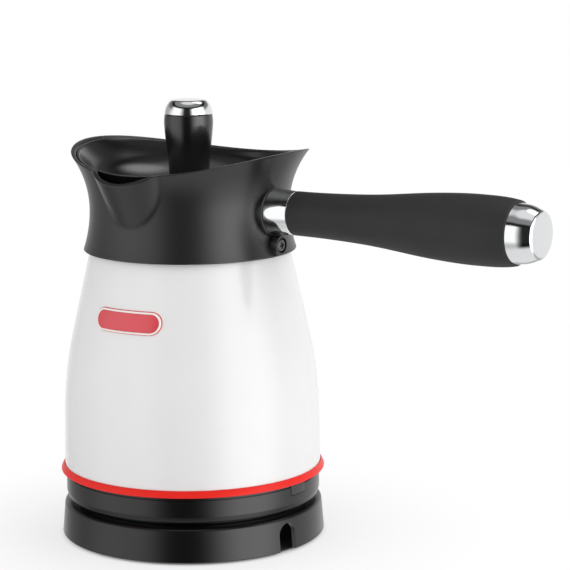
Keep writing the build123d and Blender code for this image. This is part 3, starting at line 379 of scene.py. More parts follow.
# %% [markdown]
# ## Plastics and paint
# The collar is moulded in a satin black with a fine texture, and the stand and the housing come
# from a smoother mould. The lid and its knob are glossier still. The grip has a soft-touch coating
# that hardly reflects. Enamel is glass fired on steel: a deep gloss over white, with a faint
# orange peel. Inside, the vessel is bare steel, told from the outside by where its faces look.

# %% Plastics and paint
finish("satin_black", (0.013, 0.013, 0.0135), 0.33, {"IOR": 1.55}, grain_size=0.0005,
       grain_depth=0.000006)
finish("polished_black", (0.004, 0.004, 0.0042), 0.26, {"IOR": 1.52}, grain_size=0.0005)
finish("gloss_black", (0.006, 0.006, 0.0065), 0.21, {"IOR": 1.68}, smudge=0.06, grain_size=0.002,
       grain_depth=0.000002)
finish("soft_touch_black", (0.032, 0.032, 0.033), 0.56, {"IOR": 1.28}, grain_size=0.0004,
       grain_depth=0.00001)
finish("white_enamel", (0.82, 0.82, 0.82), 0.16, {"Coat Weight": 0.15, "Coat Roughness": 0.08},
       mottle=0.008, smudge=0.03, grain_size=0.0018, grain_depth=0.000003,
       bare_inside=(0.62, 0.61, 0.60, 1))
soft_red = {"IOR": 1.35, "Subsurface Weight": 0.15, "Subsurface Radius": (0.004, 0.0008, 0.0008),
            "Subsurface Scale": 1.0}
finish("trim_red", (0.86, 0.016, 0.009), 0.36, soft_red, mottle=0.03)
finish("smoky_lens", (0.045, 0.043, 0.043), 0.16, {"Transmission Weight": 0.35}, mottle=0.05)
finish("heatproof_black", (0.022, 0.021, 0.020), 0.5, mottle=0.12)
finish("foot_rubber", (0.03, 0.03, 0.03), 0.8, mottle=0.15, grain_depth=0.00002)
finish("seal_silicone", (0.45, 0.44, 0.42), 0.6, mottle=0.05)
finish("lamp_amber", (0.75, 0.24, 0.04), 0.2, {"Transmission Weight": 0.3})
finish("badge_cream", (0.92, 0.88, 0.84), 0.25, mottle=0.01)
finish("badge_red", (0.70, 0.05, 0.07), 0.28, {"Coat Weight": 0.5, "Coat Roughness": 0.1},
       mottle=0.01, smudge=0.01)
print("plastics and paint:", len(finishes))

# %% [markdown]
# ## Metals
# A metal is its reflections, so the colour is nearly all of its look, and the gloss tells chrome
# from plain plating. The heater's casting is dull and mottled.

# %% Metals
metal = {"Metallic": 1.0}
finish("bright_chrome", (0.82, 0.83, 0.84), 0.07, metal, mottle=0.01, grain_size=0.003,
       grain_depth=0.000001)
finish("plated_steel", (0.50, 0.50, 0.51), 0.30, metal, mottle=0.08, mottle_size=0.002)
finish("contact_brass", (0.78, 0.57, 0.28), 0.25, metal, mottle=0.10)
finish("cast_aluminium", (0.60, 0.60, 0.61), 0.5, metal, mottle=0.12, mottle_size=0.005,
       grain_size=0.001, grain_depth=0.00004)
finish("blackened_steel", (0.12, 0.12, 0.123), 0.34, metal, mottle=0.15, mottle_size=0.002)
finish("element_steel", (0.42, 0.40, 0.37), 0.40, metal, mottle=0.15)
print("finishes:", len(finishes))

# %% [markdown]
# ## Turned shapes
# Most parts of the pot are round, so they are made as on a lathe: half of the outline is drawn
# as a wire, its corners are rounded, and it is spun about the axis. Points are given as radius
# and height in millimetres. An arc of many points comes from a formula, a soft line from Bezier
# pieces through a few points, and a small round from a vertex bevel, which needs only its radius.

# %% Outlines
def arc(centre, radius, start, end, count):
    """Points on an arc, angles in degrees from the outward direction."""
    turns = [math.radians(start + (end - start) * i / (count - 1)) for i in range(count)]
    return [(centre[0] + radius * math.cos(t), centre[1] + radius * math.sin(t)) for t in turns]


def soft_line(points, start_slope=None, end_slope=None, count=8):
    """A smooth line through points, with the direction at its ends if given."""
    knots = [Vector((*p, 0)) for p in points]
    slopes = []
    for i, knot in enumerate(knots):
        before = knots[max(i - 1, 0)]
        after = knots[min(i + 1, len(knots) - 1)]
        slopes.append((after - before).normalized())
    for i, slope in ((0, start_slope), (-1, end_slope)):
        if slope:
            slopes[i] = Vector((*slope, 0)).normalized()
    line = []
    for a, b, slope_a, slope_b in zip(knots, knots[1:], slopes, slopes[1:]):
        third = (b - a).length / 3
        line += interpolate_bezier(a, a + slope_a * third, b - slope_b * third, b, count)[:-1]
    return [(p.x, p.y) for p in line + [knots[-1]]]


def radius_on(line, height):
    """The radius of an outline at a height, read off between its points."""
    for (r0, z0), (r1, z1) in zip(line, line[1:]):
        if min(z0, z1) <= height <= max(z0, z1) and z0 != z1:
            return r0 + (r1 - r0) * (height - z0) / (z1 - z0)
    return min(line, key=lambda p: abs(p[1] - height))[0]


print("half circle:", arc((0, 0), 1, -90, 90, 3))

# %% Spinning and finishing a piece
merge_distance = 0.002 * MM
cut_merge_distance = 0.0005 * MM


def spin(bm, steps):
    """Spins the points and edges of a bmesh all the way round the upright axis."""
    bmesh.ops.spin(bm, geom=bm.verts[:] + bm.edges[:], cent=(0, 0, 0), axis=(0, 0, 1), dvec=(0, 0, 0),
                   angle=math.tau, steps=steps, use_merge=True, use_duplicate=False)

def bevelled(bm, edges, offset, segments, clamp=False):
    """Rounds edges by an offset in millimetres."""
    bmesh.ops.bevel(bm, geom=edges, offset=offset * MM, affect="EDGES", segments=segments,
                    profile=0.5, material=-1, clamp_overlap=clamp)


def swung(bm, angle, axis="Z"):
    """Swings a bmesh round an axis through the origin, by an angle in radians."""
    bmesh.ops.rotate(bm, cent=(0, 0, 0), verts=bm.verts, matrix=Matrix.Rotation(angle, 3, axis))
    return bm


def turned(outline, rounds=None, closed=False, steps=192):
    """A bmesh spun from an outline of (radius, height) points. For a corner's index, rounds gives
    the corner's radius, or its radius and the number of segments of its arc."""
    bm = bmesh.new()
    corners = [bm.verts.new((r * MM, 0, z * MM)) for r, z in outline]
    for a, b in zip(corners, corners[1:] + (corners[:1] if closed else [])):
        bm.edges.new((a, b))
    for index, size in (rounds or {}).items():
        radius, segments = size if isinstance(size, tuple) else (size, 6)
        corner = corners[index]
        legs = [edge.other_vert(corner).co - corner.co for edge in corner.link_edges]
        turn = math.pi - legs[0].angle(legs[1])
        bmesh.ops.bevel(bm, geom=[corner], offset=radius * MM * math.tan(turn / 2), affect="VERTICES",
                        segments=segments, profile=0.5, material=-1, clamp_overlap=False)
    spin(bm, steps)
    bmesh.ops.remove_doubles(bm, verts=bm.verts, dist=merge_distance)
    bmesh.ops.recalc_face_normals(bm, faces=bm.faces)
    return bm


def block(size, centre, edge=0.0):
    """A box of a size in millimetres round a centre, with its edges rounded."""
    bm = bmesh.new()
    bmesh.ops.create_cube(bm, size=1, matrix=Matrix.Translation(Vector(centre) * MM)
                          @ Matrix.Diagonal((*(Vector(size) * MM), 1)))
    if edge:
        bevelled(bm, bm.edges[:], edge, 4)
    return bm


def rod(radius, low, high, rounds=None, steps=64):
    """An upright round rod; rounds gives its lower rim, 1, and its upper rim, 2, a radius."""
    return turned([(0, low), (radius, low), (radius, high), (0, high)], rounds, steps=steps)


def laid(bm, height=0.0):
    """Lays a bmesh down, so that its axis runs along +X at a height in millimetres."""
    place = Matrix.Translation((0, 0, height * MM)) @ Matrix.Rotation(math.radians(90), 4, "Y")
    bmesh.ops.transform(bm, matrix=place, verts=bm.verts)
    return bm


def shifted(bm, x=0.0, z=0.0):
    bmesh.ops.translate(bm, vec=Vector((x, 0, z)) * MM, verts=bm.verts)
    return bm


def combined(first, second, operation):
    """The union, difference or intersection of two closed bmeshes, made by a Boolean modifier."""
    holders = []
    for bm in (first, second):
        mesh = bpy.data.meshes.new("scratch")
        bm.to_mesh(mesh)
        bm.free()
        holders.append(placed("scratch", mesh))
    boolean = holders[0].modifiers.new("combine", "BOOLEAN")
    boolean.operation = operation
    boolean.solver = "EXACT"
    boolean.object = holders[1]
    bpy.context.view_layer.update()
    result = bpy.data.meshes.new_from_object(
        holders[0].evaluated_get(bpy.context.evaluated_depsgraph_get()))
    bm = bmesh.new()
    bm.from_mesh(result)
    bpy.data.meshes.remove(result)
    for holder in holders:
        mesh = holder.data
        bpy.data.objects.remove(holder)
        bpy.data.meshes.remove(mesh)
    bmesh.ops.remove_doubles(bm, verts=bm.verts, dist=cut_merge_distance)
    return bm


def piece(name, bm, slot, body, *nodes, crease=32, look=None):
    """Turns a bmesh into a finished piece that rides on a body and stands for CAD nodes."""
    mesh = bpy.data.meshes.new(name)
    bm.to_mesh(mesh)
    bm.free()
    mesh.shade_smooth()
    mesh.set_sharp_from_angle(angle=math.radians(crease))
    mesh.materials.append(finishes[look or slot])
    made = placed(name, mesh)
    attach(made, body)
    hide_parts(*nodes)
    sides = [round(x / MM, 1) for x in made.dimensions]
    print(f"{name}: {len(mesh.polygons)} faces, {sides} mm")
    return made


print("modelling helpers ready")

# %% [markdown]
# ## Stand
# The stand is a low round moulding on four rubber pads. Its skirt leans in a little, as every
# moulding does so that it leaves its mould, and a round-topped notch in it lets a cord out. Under
# the deck is a drum for spare cord. All of it is spun from one outline, and the notch is cut after.

# %% Stand
stand_foot_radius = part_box("base_shell")[1].y / MM
stand_edge_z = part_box("base_shell")[0].z / MM
deck_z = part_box("base_shell")[1].z / MM
stand_draft = 1.3
stand_wall = 2.2
pad_depth = 3.2
deck_under_z = deck_z - stand_wall
pad_under_z = deck_z - pad_depth
tower_hole_radius = 17.15
pad_radius = 28.0
drum_radius = 36.0
drum_inner_radius = 34.0
plate_top_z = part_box("base_bottom_plate")[1].z / MM
plate_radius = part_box("base_bottom_plate")[1].y / MM

stand_outline = [
    (stand_foot_radius, stand_edge_z),
    (stand_foot_radius - stand_draft, deck_z),
    (tower_hole_radius, deck_z),
    (tower_hole_radius, pad_under_z),
    (pad_radius, pad_under_z),
    (pad_radius, deck_under_z),
    (drum_inner_radius, deck_under_z),
    (drum_inner_radius, plate_top_z),
    (drum_radius, plate_top_z),
    (drum_radius, deck_under_z),
    (stand_foot_radius - stand_draft - stand_wall, deck_under_z),
    (stand_foot_radius - stand_wall, stand_edge_z),
]
stand = turned(stand_outline, {0: 0.5, 1: 1.6, 2: 0.4, 10: 0.8, 11: 0.4}, closed=True, steps=256)

notch_width = 10.0
notch_height = 12.4
notch_bearing = -9.3
notch_inside = 12
notch_outside = 10
notch_below = 2
notch_round = laid(rod(notch_width / 2, stand_foot_radius - notch_inside, stand_foot_radius + notch_outside))
shifted(notch_round, z=stand_edge_z + notch_height - notch_width / 2)
notch_leg_height = notch_height - notch_width / 2 + notch_below
notch_leg = block((notch_inside + notch_outside, notch_width, notch_leg_height),
                  (stand_foot_radius + (notch_outside - notch_inside) / 2, 0,
                   stand_edge_z - notch_below + notch_leg_height / 2))
notch = combined(notch_round, notch_leg, "UNION")
stand = combined(stand, swung(notch, math.radians(notch_bearing)), "DIFFERENCE")
piece("stand", stand, "satin_black", "base", "base_shell", look="polished_black")

# %% Stand's underside
plate_screw_pitch = 29.5
plate_screw_count = 3
plate_pocket_radius = 3.1
plate_pocket_depth = 1.3
plate = rod(plate_radius, stand_edge_z, plate_top_z, {1: 0.6, 2: 0.3}, steps=192)
for index in range(plate_screw_count):
    pocket = rod(plate_pocket_radius, stand_edge_z - 1, stand_edge_z + plate_pocket_depth, steps=32)
    shifted(pocket, x=plate_screw_pitch)
    plate = combined(plate, swung(pocket, math.tau * index / plate_screw_count), "DIFFERENCE")
piece("bottom_plate", plate, "satin_black", "base", "base_bottom_plate")

foot_count = 4
foot_pitch = 50.0
foot_radius = 5.0
foot_height = 2.0
foot_round = 0.7
feet = bmesh.new()
for index in range(foot_count):
    pad = shifted(rod(foot_radius, 0, foot_height, {1: foot_round}, steps=48), x=foot_pitch)
    swung(pad, math.tau * (index + 0.5) / foot_count)
    mesh = bpy.data.meshes.new("pad")
    pad.to_mesh(mesh)
    pad.free()
    feet.from_mesh(mesh)
    bpy.data.meshes.remove(mesh)
piece("rubber_feet", feet, "foot_rubber", "base", "base_feet")

# %% [markdown]
# ## Contact tower
# In the middle of the stand a round tower carries two ring grooves and a centre hole. The pot's
# contacts drop into them whichever way the handle points. It is one outline again, with the
# grooves as steps in it.

# %% Contact tower
tower_radius = 17.0
tower_top_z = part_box("socket_housing")[1].z / MM
tower_low_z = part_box("socket_housing")[0].z / MM
groove_floor_z = 16.4
groove_radii = ((7.2, 9.6), (12.2, 14.6))
bore_radius = 3.05
flange_radius = 25.0
flange_under_z = pad_under_z - 2.6
tower_outline = [(bore_radius, tower_low_z), (bore_radius, tower_top_z)]
for inner, outer in groove_radii:
    tower_outline += [(inner, tower_top_z), (inner, groove_floor_z)]
    tower_outline += [(outer, groove_floor_z), (outer, tower_top_z)]
tower_outline += [(tower_radius, tower_top_z), (tower_radius, pad_under_z), (flange_radius, pad_under_z),
                  (flange_radius, flange_under_z), (tower_radius, flange_under_z),
                  (tower_radius, tower_low_z)]
tower_rounds = {1: 0.3, 2: 0.3, 5: 0.3, 6: 0.3, 9: 0.3, 10: 0.9}
piece("contact_tower", turned(tower_outline, tower_rounds, closed=True), "heatproof_black", "base",
      "socket_housing")

# %% [markdown]
# ## Pot's lower housing, lens and ring
# The heater sits in a plastic housing under the vessel. Its foot is set back, which leaves a dark
# groove between pot and stand, and a fine line is cut round it under the red ring. A smoky lens
# for the lamp is let into its rim on the handle's side. The red ring between housing and vessel
# is a soft plastic with a thin upper lip.

# %% Lower housing
housing_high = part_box("lower_housing")[1]
housing_top_z = housing_high.z / MM
housing_radius = housing_high.y / MM
housing_wall = 2.2
housing_foot_radius = housing_radius - 0.6
housing_foot_slope = 2.5
groove_radius = 52.0
groove_top_z = deck_z + 2.5
housing_inner_radius = 55.6
well_radius = 19.5
well_top_z = 23.8
seam_top_z = housing_top_z - 0.9
seam_height = 0.35
seam_depth = 0.5
housing_outline = [
    (well_radius, deck_z),
    (groove_radius, deck_z),
    (groove_radius, groove_top_z),
    (housing_foot_radius, groove_top_z),
    (housing_radius, groove_top_z + housing_foot_slope),
    (housing_radius, seam_top_z - seam_height),
    (housing_radius - seam_depth, seam_top_z - seam_height),
    (housing_radius - seam_depth, seam_top_z),
    (housing_radius, seam_top_z),
    (housing_radius, housing_top_z),
    (housing_inner_radius, housing_top_z),
    (housing_inner_radius, groove_top_z + housing_wall),
    (groove_radius - housing_wall, groove_top_z + housing_wall),
    (groove_radius - housing_wall, deck_z + housing_wall),
    (well_radius + housing_wall, deck_z + housing_wall),
    (well_radius + housing_wall, well_top_z),
    (well_radius, well_top_z),
]
housing = turned(housing_outline, {0: 0.4, 1: 0.5, 3: 0.6, 4: 0.8, 5: 0.15, 8: 0.15, 9: 0.3},
                 closed=True, steps=256)

lens_width = 11.0
lens_low_z = 24.6
lens_corner = 1.2
lens_bar_x = 50, 70


def lens_bar(margin):
    """An upright bar along +X with the lens's rounded lower corners."""
    inner, outer = lens_bar_x
    tall = housing_top_z - lens_low_z + margin + lens_corner * 4
    bar = block((outer - inner, lens_width + 2 * margin, tall),
                ((inner + outer) / 2, 0, lens_low_z - margin + tall / 2))
    low_edges = [e for e in bar.edges if all(v.co.z < (lens_low_z + 1) * MM for v in e.verts)
                 and abs(e.verts[0].co.x - e.verts[1].co.x) > MM]
    bevelled(bar, low_edges, lens_corner + margin, 6)
    return bar


housing = combined(housing, lens_bar(0), "DIFFERENCE")
piece("lower_housing_shell", housing, "satin_black", "pot", "lower_housing", look="polished_black")

# %% Indicator lens
lens_gap = 0.25
lens_proud = 0.3
lens_rim_round = 0.25
lens_wall = turned([(housing_inner_radius, lens_low_z - 2), (housing_radius + lens_proud, lens_low_z - 2),
                    (housing_radius + lens_proud, housing_top_z), (housing_inner_radius, housing_top_z)],
                   closed=True, steps=256)
lens = combined(lens_wall, lens_bar(-lens_gap), "INTERSECT")
face_rim = [e for e in lens.edges if e.calc_face_angle(0) > 0.6
            and all(v.co.xy.length > (housing_radius + lens_proud - 0.05) * MM for v in e.verts)]
bevelled(lens, face_rim, lens_rim_round, 3)
piece("lamp_lens", lens, "smoky_lens", "pot", "indicator_lens")

# %% Red ring
ring_inner_radius = 58.56
ring_ledge = 4.6
vessel_foot_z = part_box("vessel")[0].z / MM
ring_top_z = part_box("trim_ring")[1].z / MM
ring_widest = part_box("trim_ring")[1].y / MM
ring_outline = [
    (ring_inner_radius - ring_ledge, housing_top_z),
    (housing_radius, housing_top_z),
    (ring_widest, housing_top_z + 0.5),
    (ring_widest, housing_top_z + 1.0),
    (ring_inner_radius + 0.3, ring_top_z),
    (ring_inner_radius, ring_top_z),
    (ring_inner_radius, vessel_foot_z),
    (ring_inner_radius - ring_ledge, vessel_foot_z),
]
piece("red_ring", turned(ring_outline, {1: 0.3, 2: 0.3, 3: 1.0, 4: 0.12}, closed=True, steps=256),
      "trim_red", "pot", "trim_ring")

# %% [markdown]
# ## Vessel
# The vessel is drawn from one sheet of steel: a belly that stands nearly straight, a long soft
# bend and a cone up to the neck. Only the outer skin is spun. Solidify then gives the sheet its
# even thickness inwards, which is how a drawn pot is, and closes it at the top edge.

# %% Vessel
vessel_top_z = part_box("vessel")[1].z / MM
vessel_foot_radius = 58.46
vessel_bend = (57.6, vessel_foot_z + 44.8)
vessel_top_radius = 41.94
vessel_wall = 0.8
vessel_bend_radius = 157.0
vessel_foot_round = 2.5
neck_edge = 0.5                 # the last point but one is this far under the top edge
neck_edge_widening = 0.17
vessel_outline = [(0, vessel_foot_z), (vessel_foot_radius, vessel_foot_z), vessel_bend,
                  (vessel_top_radius + neck_edge_widening, vessel_top_z - neck_edge),
                  (vessel_top_radius, vessel_top_z)]
vessel_skin = turned(vessel_outline, {2: (vessel_bend_radius, 28), 1: (vessel_foot_round, 8)}, steps=256)
if sum(f.normal.z * f.calc_area() for f in vessel_skin.faces) > 0:
    bmesh.ops.reverse_faces(vessel_skin, faces=vessel_skin.faces)
vessel = piece("enamelled_vessel", vessel_skin, "white_enamel", "pot", "vessel")
sheet_metal = vessel.modifiers.new("sheet", "SOLIDIFY")
sheet_metal.thickness = vessel_wall * MM
sheet_metal.offset = -1
sheet_metal.use_even_offset = True

# %% [markdown]
# ## Collar and spout
# The collar is the pot's shoulder: it grips the vessel's neck, is narrowest where the handle is
# bolted on, and flares out to a rim that dips at the sides. The spout is a leaning cone that
# grows out of its wall. Joining the two as solids would leave a hard seam, so the collar is spun
# as a plain ring and its points are then moved outwards to wherever the cone is wider, with a
# small blend between the two. The rim is lowered to its own curve in the same step.

# %% Collar's forms
collar_low_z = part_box("collar")[0].z / MM
waist_radius = vessel_top_radius + 3.0
waist_z = collar_low_z + 18.5
lower_round = 56.7
flare_round = 42.3
collar_wall = 1.5
ledge_z = collar_low_z + 29.0
neck_radius = 41.2
neck_low_z = vessel_top_z + 2.0
rim_z = collar_low_z + 42.4
rim_radius = waist_radius + 7.5
rim_saddle = 4.0
rim_tilt = 0.87
stock_top_z = rim_z + 7.0
channel_floor_z = collar_low_z + 18.0
spout_root_z = collar_low_z + 14.0
spout_root_radius = 13.8
spout_root_reach = waist_radius - 13.7
spout_lean = 0.208
spout_widening = 0.278
spout_wall = 2.0
lip_reach = rim_radius + 2.1
lip_tip_z = collar_low_z + 34.1
lip_fall = math.tan(math.radians(41.5))
spout_blend = 1.0
lip_blend = 2.0


def cone_radius(z):
    """The vessel's outer radius at a height on its cone."""
    share = (z - vessel_bend[1]) / (vessel_top_z - vessel_bend[1])
    return vessel_bend[0] + share * (vessel_top_radius - vessel_bend[0])


def flare(z, inset=0.0):
    """The flare's radius at a height, for a skin this far inside it."""
    return waist_radius + flare_round - math.sqrt((flare_round + inset) ** 2 - (z - waist_z) ** 2)


def lower_skin(z):
    """The collar's outer radius below its waist."""
    return waist_radius + lower_round - math.sqrt(lower_round ** 2 - (z - waist_z) ** 2)


def spout_radius(z, bearing, wall):
    """How far out the spout's leaning cone is, at a bearing from its middle."""
    rise = z - spout_root_z
    centre = spout_root_reach + spout_lean * rise
    radius = spout_root_radius + spout_widening * rise - wall
    side = centre * math.sin(bearing)
    if abs(side) >= radius or abs(bearing) > math.pi / 2:
        return 0.0
    return centre * math.cos(bearing) + math.sqrt(radius ** 2 - side ** 2)


def soft_max(a, b, width):
    """The larger of two lengths, rounded where they are within a width of each other."""
    overlap = max(width - abs(a - b), 0.0) / width
    return max(a, b) + overlap * overlap * width / 4


def saddle(x, y, drop=0.0):
    """The rim's height over a point: high at handle and back, low at the sides."""
    return rim_z - drop + rim_saddle * (x * x - y * y) / rim_radius ** 2 + rim_tilt * y / rim_radius


print("waist", waist_z, "ledge", ledge_z, "rim", saddle(rim_radius, 0), saddle(0, -rim_radius))

# %% Rings with labelled rows
collar_columns = 320
lid_columns = 288


def labelled_ring(rows, steps):
    """Spins a closed outline of (part, radius, height) rows; each point keeps its row's number."""
    bm = bmesh.new()
    label = bm.verts.layers.int.new("row")
    corners = []
    for number, (part, r, z) in enumerate(rows):
        corner = bm.verts.new((r * MM, 0, z * MM))
        corner[label] = number
        corners.append(corner)
    for a, b in zip(corners, corners[1:] + corners[:1]):
        bm.edges.new((a, b))
    spin(bm, steps)
    return bm


def gather(angle):
    """Crowds the columns together round the spout, where the shape is finest."""
    return angle - 0.45 * math.sin(angle)


def reshape(bm, rows, place):
    """Moves each point to where `place` puts its row at its bearing from the spout."""
    label = bm.verts.layers.int["row"]
    for vert in bm.verts:
        bearing = gather(math.atan2(vert.co.x, -vert.co.y))
        r, z = place(*rows[vert[label]], bearing)
        vert.co = Vector((r * math.sin(bearing), -r * math.cos(bearing), z)) * MM
    bmesh.ops.remove_doubles(bm, verts=bm.verts, dist=0.004 * MM)
    bmesh.ops.recalc_face_normals(bm, faces=bm.faces)


def soften(bm, rows, offset, segments=3):
    """Rounds the edges that run along some rows."""
    label = bm.verts.layers.int["row"]
    edges = [e for e in bm.edges if e.verts[0][label] == e.verts[1][label] and e.verts[0][label] in rows]
    bevelled(bm, edges, offset, segments, clamp=True)


def steps_between(low, high, count):
    return [low + (high - low) * i / (count - 1) for i in range(count)]


print("spout side columns every", round(math.degrees(gather(math.tau / collar_columns)), 2), "degrees")

# %% Collar's ring
def outer_skin(z, bearing):
    """The collar's outer radius, with the spout's cone where that is wider."""
    plain = flare(z) if z >= waist_z else lower_skin(z)
    if z < spout_root_z:
        return plain
    return soft_max(plain, spout_radius(z, bearing, 0.0), spout_blend)


def inner_skin(z, bearing):
    return max(flare(z, collar_wall), spout_radius(z, bearing, spout_wall))


def wall_top(skin, bearing):
    """Where the lower of the rim's curve and the spout's lip cuts a skin of the wall."""
    z = rim_z
    for _ in range(16):
        r = skin(z, bearing)
        rim = saddle(r * math.sin(bearing), -r * math.cos(bearing))
        lip = lip_tip_z + lip_fall * (lip_reach - r * math.cos(bearing))
        z = (z - soft_max(-rim, -lip, lip_blend)) / 2
    return z


def collar_place(part, r, z, bearing):
    """Radius and height of a row of the collar at a bearing."""
    if part == "foot":
        return r, z
    if part == "neck":
        return max(r, spout_radius(z, bearing, spout_wall)), z
    skin = outer_skin if part == "outer" else inner_skin
    if z > ledge_z:
        z = ledge_z + (z - ledge_z) * (wall_top(skin, bearing) - ledge_z) / (stock_top_z - ledge_z)
    return skin(z, bearing), z


stock_radius = 50.0
lip_z = collar_low_z + 1.5
seal_space = 1.7
neck_clearance = 0.15
collar_rows = [("outer", 0, z) for z in steps_between(collar_low_z, ledge_z, 30)]
collar_rows += [("outer", 0, z) for z in steps_between(ledge_z, stock_top_z, 14)[1:]]
collar_top_rows = (len(collar_rows) - 1, len(collar_rows))
collar_rows += [("inner", 0, z) for z in steps_between(stock_top_z, ledge_z, 14)]
collar_ledge_row = len(collar_rows)
collar_rows += [("neck", neck_radius, z) for z in steps_between(ledge_z, channel_floor_z, 10)]
collar_rows += [
    ("foot", neck_radius, channel_floor_z),
    ("foot", neck_radius, neck_low_z),
    ("foot", cone_radius(neck_low_z) + seal_space, neck_low_z),
    ("foot", cone_radius(lip_z) + seal_space, lip_z),
    ("foot", cone_radius(lip_z) + neck_clearance, lip_z),
    ("foot", cone_radius(collar_low_z) + neck_clearance, collar_low_z),
]
collar = labelled_ring([(part, r or stock_radius, z) for part, r, z in collar_rows], collar_columns)
reshape(collar, collar_rows, collar_place)
soften(collar, collar_top_rows, 0.5)
soften(collar, (0,), 0.5)
soften(collar, (collar_ledge_row,), 0.35, 2)
print("collar ring:", len(collar.faces), "faces")

# %% [markdown]
# ## Bosses on the collar
# Two round bosses stand on the handle's side: a wide one that the handle's sleeve seats on, and
# a small one with a recess for the screw that draws the collar down onto the neck bracket. Inside
# the neck a pad holds the nut for the handle's bolt. Each is a rounded rod or block joined to the
# ring by a Boolean union, which leaves the crisp edge that a moulded boss has. The wide boss is a
# whole disc: its top ends 2 mm above the ledge, where the lid's edge still overlaps it.

# %% Bosses and nut pad
handle_z = collar_low_z + 20.0
boss_face_x = waist_radius + 1.8
boss_root_x = 42.3
boss_radius = 11.0
screw_z = collar_low_z + 5.1
screw_boss_face_x = waist_radius + 5.2
screw_boss_root_x = 46.6
screw_boss_radius = 4.4
screw_recess_radius = 3.4
screw_recess_depth = 1.6
nut_pad_low_x = 37.6
nut_pad_high_x = 42.2

handle_boss = rod(boss_radius, boss_root_x, boss_face_x, {2: 0.5}, steps=96)
collar = combined(collar, laid(handle_boss, handle_z), "UNION")
screw_boss = rod(screw_boss_radius, screw_boss_root_x, screw_boss_face_x, {2: 0.4})
collar = combined(collar, laid(screw_boss, screw_z), "UNION")
recess = rod(screw_recess_radius, screw_boss_face_x - screw_recess_depth, screw_boss_face_x + 2)
collar = combined(collar, laid(recess, screw_z), "DIFFERENCE")
nut_pad_width = 16.0
nut_pad_top_z = handle_z + 5.8
nut_pad = block((nut_pad_high_x - nut_pad_low_x, nut_pad_width, nut_pad_top_z - neck_low_z),
                ((nut_pad_high_x + nut_pad_low_x) / 2, 0, (nut_pad_top_z + neck_low_z) / 2), 0.5)
collar = combined(collar, nut_pad, "UNION")
piece("collar_and_spout", collar, "satin_black", "pot", "collar", crease=38)

# %% [markdown]
# ## Collar screw
# A pan head with a cross recess, sunk into its boss. The head is turned with a rounded rim, and
# the cross is two tapered bars taken out of it, because a driver's tip is a blunt cross.

# %% Collar screw
screw_seat_x = screw_boss_face_x - screw_recess_depth
screw_head_radius = 2.8
screw_face_x = screw_seat_x + 1.5
screw_tip_x = 41.6
screw_shank_radius = 1.5
cross_size = 2.2, 3.9, 1.0
cross_taper = 0.55
cross_turn = 8
screw_outline = [(0, screw_tip_x), (screw_shank_radius, screw_tip_x), (screw_shank_radius, screw_seat_x),
                 (screw_head_radius, screw_seat_x), (screw_head_radius, screw_face_x), (0, screw_face_x)]
screw = laid(turned(screw_outline, {4: 0.7}, steps=64), screw_z)
for quarter in (0, 90):
    bar = block(cross_size, (screw_face_x, 0, 0), 0.12)
    for vert in bar.verts:
        if vert.co.x < screw_face_x * MM:
            vert.co.y *= cross_taper
    swung(bar, math.radians(quarter + cross_turn), "X")
    screw = combined(screw, shifted(bar, z=screw_z), "DIFFERENCE")
piece("neck_screw", screw, "plated_steel", "pot", "collar_screw", look="blackened_steel")

# %% [markdown]
# ## Handle
# The handle is three turned pieces on one long bolt: a chrome sleeve against the collar, a grip
# that swells towards its end so that the hand finds it, and a chrome cap. They are spun about
# the vertical axis like everything else and then laid down along the handle.

# %% Handle
sleeve_end_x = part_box("handle_ferrule")[1].x / MM
grip_end_x = sleeve_end_x + 109.2
sleeve = turned([(0, boss_face_x), (10.3, boss_face_x), (9.65, sleeve_end_x), (0, sleeve_end_x)],
                {1: 0.3, 2: 0.3}, steps=160)
piece("chrome_sleeve", laid(sleeve, handle_z), "bright_chrome", "pot", "handle_ferrule")

grip_line = soft_line([(9.7, sleeve_end_x), (10.85, sleeve_end_x + 36.5), (14.0, sleeve_end_x + 69.5),
                       (14.9, sleeve_end_x + 91.3), (13.6, grip_end_x)],
                      start_slope=(0, 1), end_slope=(-0.2147, 0.9767), count=14)
grip_outline = [(0, sleeve_end_x), *grip_line, (0, grip_end_x)]
grip = turned(grip_outline, {1: 0.2, len(grip_outline) - 2: 0.9}, steps=192)
piece("soft_grip", laid(grip, handle_z), "soft_touch_black", "pot", "handle_grip")

cap_rim_x = grip_end_x + 10.6
cap_disc_radius = 10.0
cap_rim_round = 2.2
cap_taper = soft_line([(12.8, grip_end_x), (12.1, grip_end_x + 5.3), (cap_disc_radius, cap_rim_x)], count=8)
cap_tip_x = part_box("handle_end_cap")[1].x / MM
cap_dome_height = cap_tip_x - cap_rim_x
cap_dome_radius = (cap_disc_radius ** 2 + cap_dome_height ** 2) / (2 * cap_dome_height)
cap_dome_turn = math.degrees(math.asin(cap_disc_radius / cap_dome_radius))
cap_dome = arc((0, cap_tip_x - cap_dome_radius), cap_dome_radius, 90 - cap_dome_turn, 90, 8)
cap_outline = [(0, grip_end_x), *cap_taper, *cap_dome[1:-1], (0, cap_tip_x)]
end_cap = turned(cap_outline, {len(cap_taper): cap_rim_round}, steps=192)
piece("chrome_end_cap", laid(end_cap, handle_z), "bright_chrome", "pot", "handle_end_cap")

# %% [markdown]
# ## Lid
# The lid is a glossy dish that sits down inside the flare, with a knob standing in its middle.
# Its edge follows the same dipping curve as the rim, a little lower. It is made as the collar
# was: a spun ring of labelled rows whose heights are then fitted to the curve.

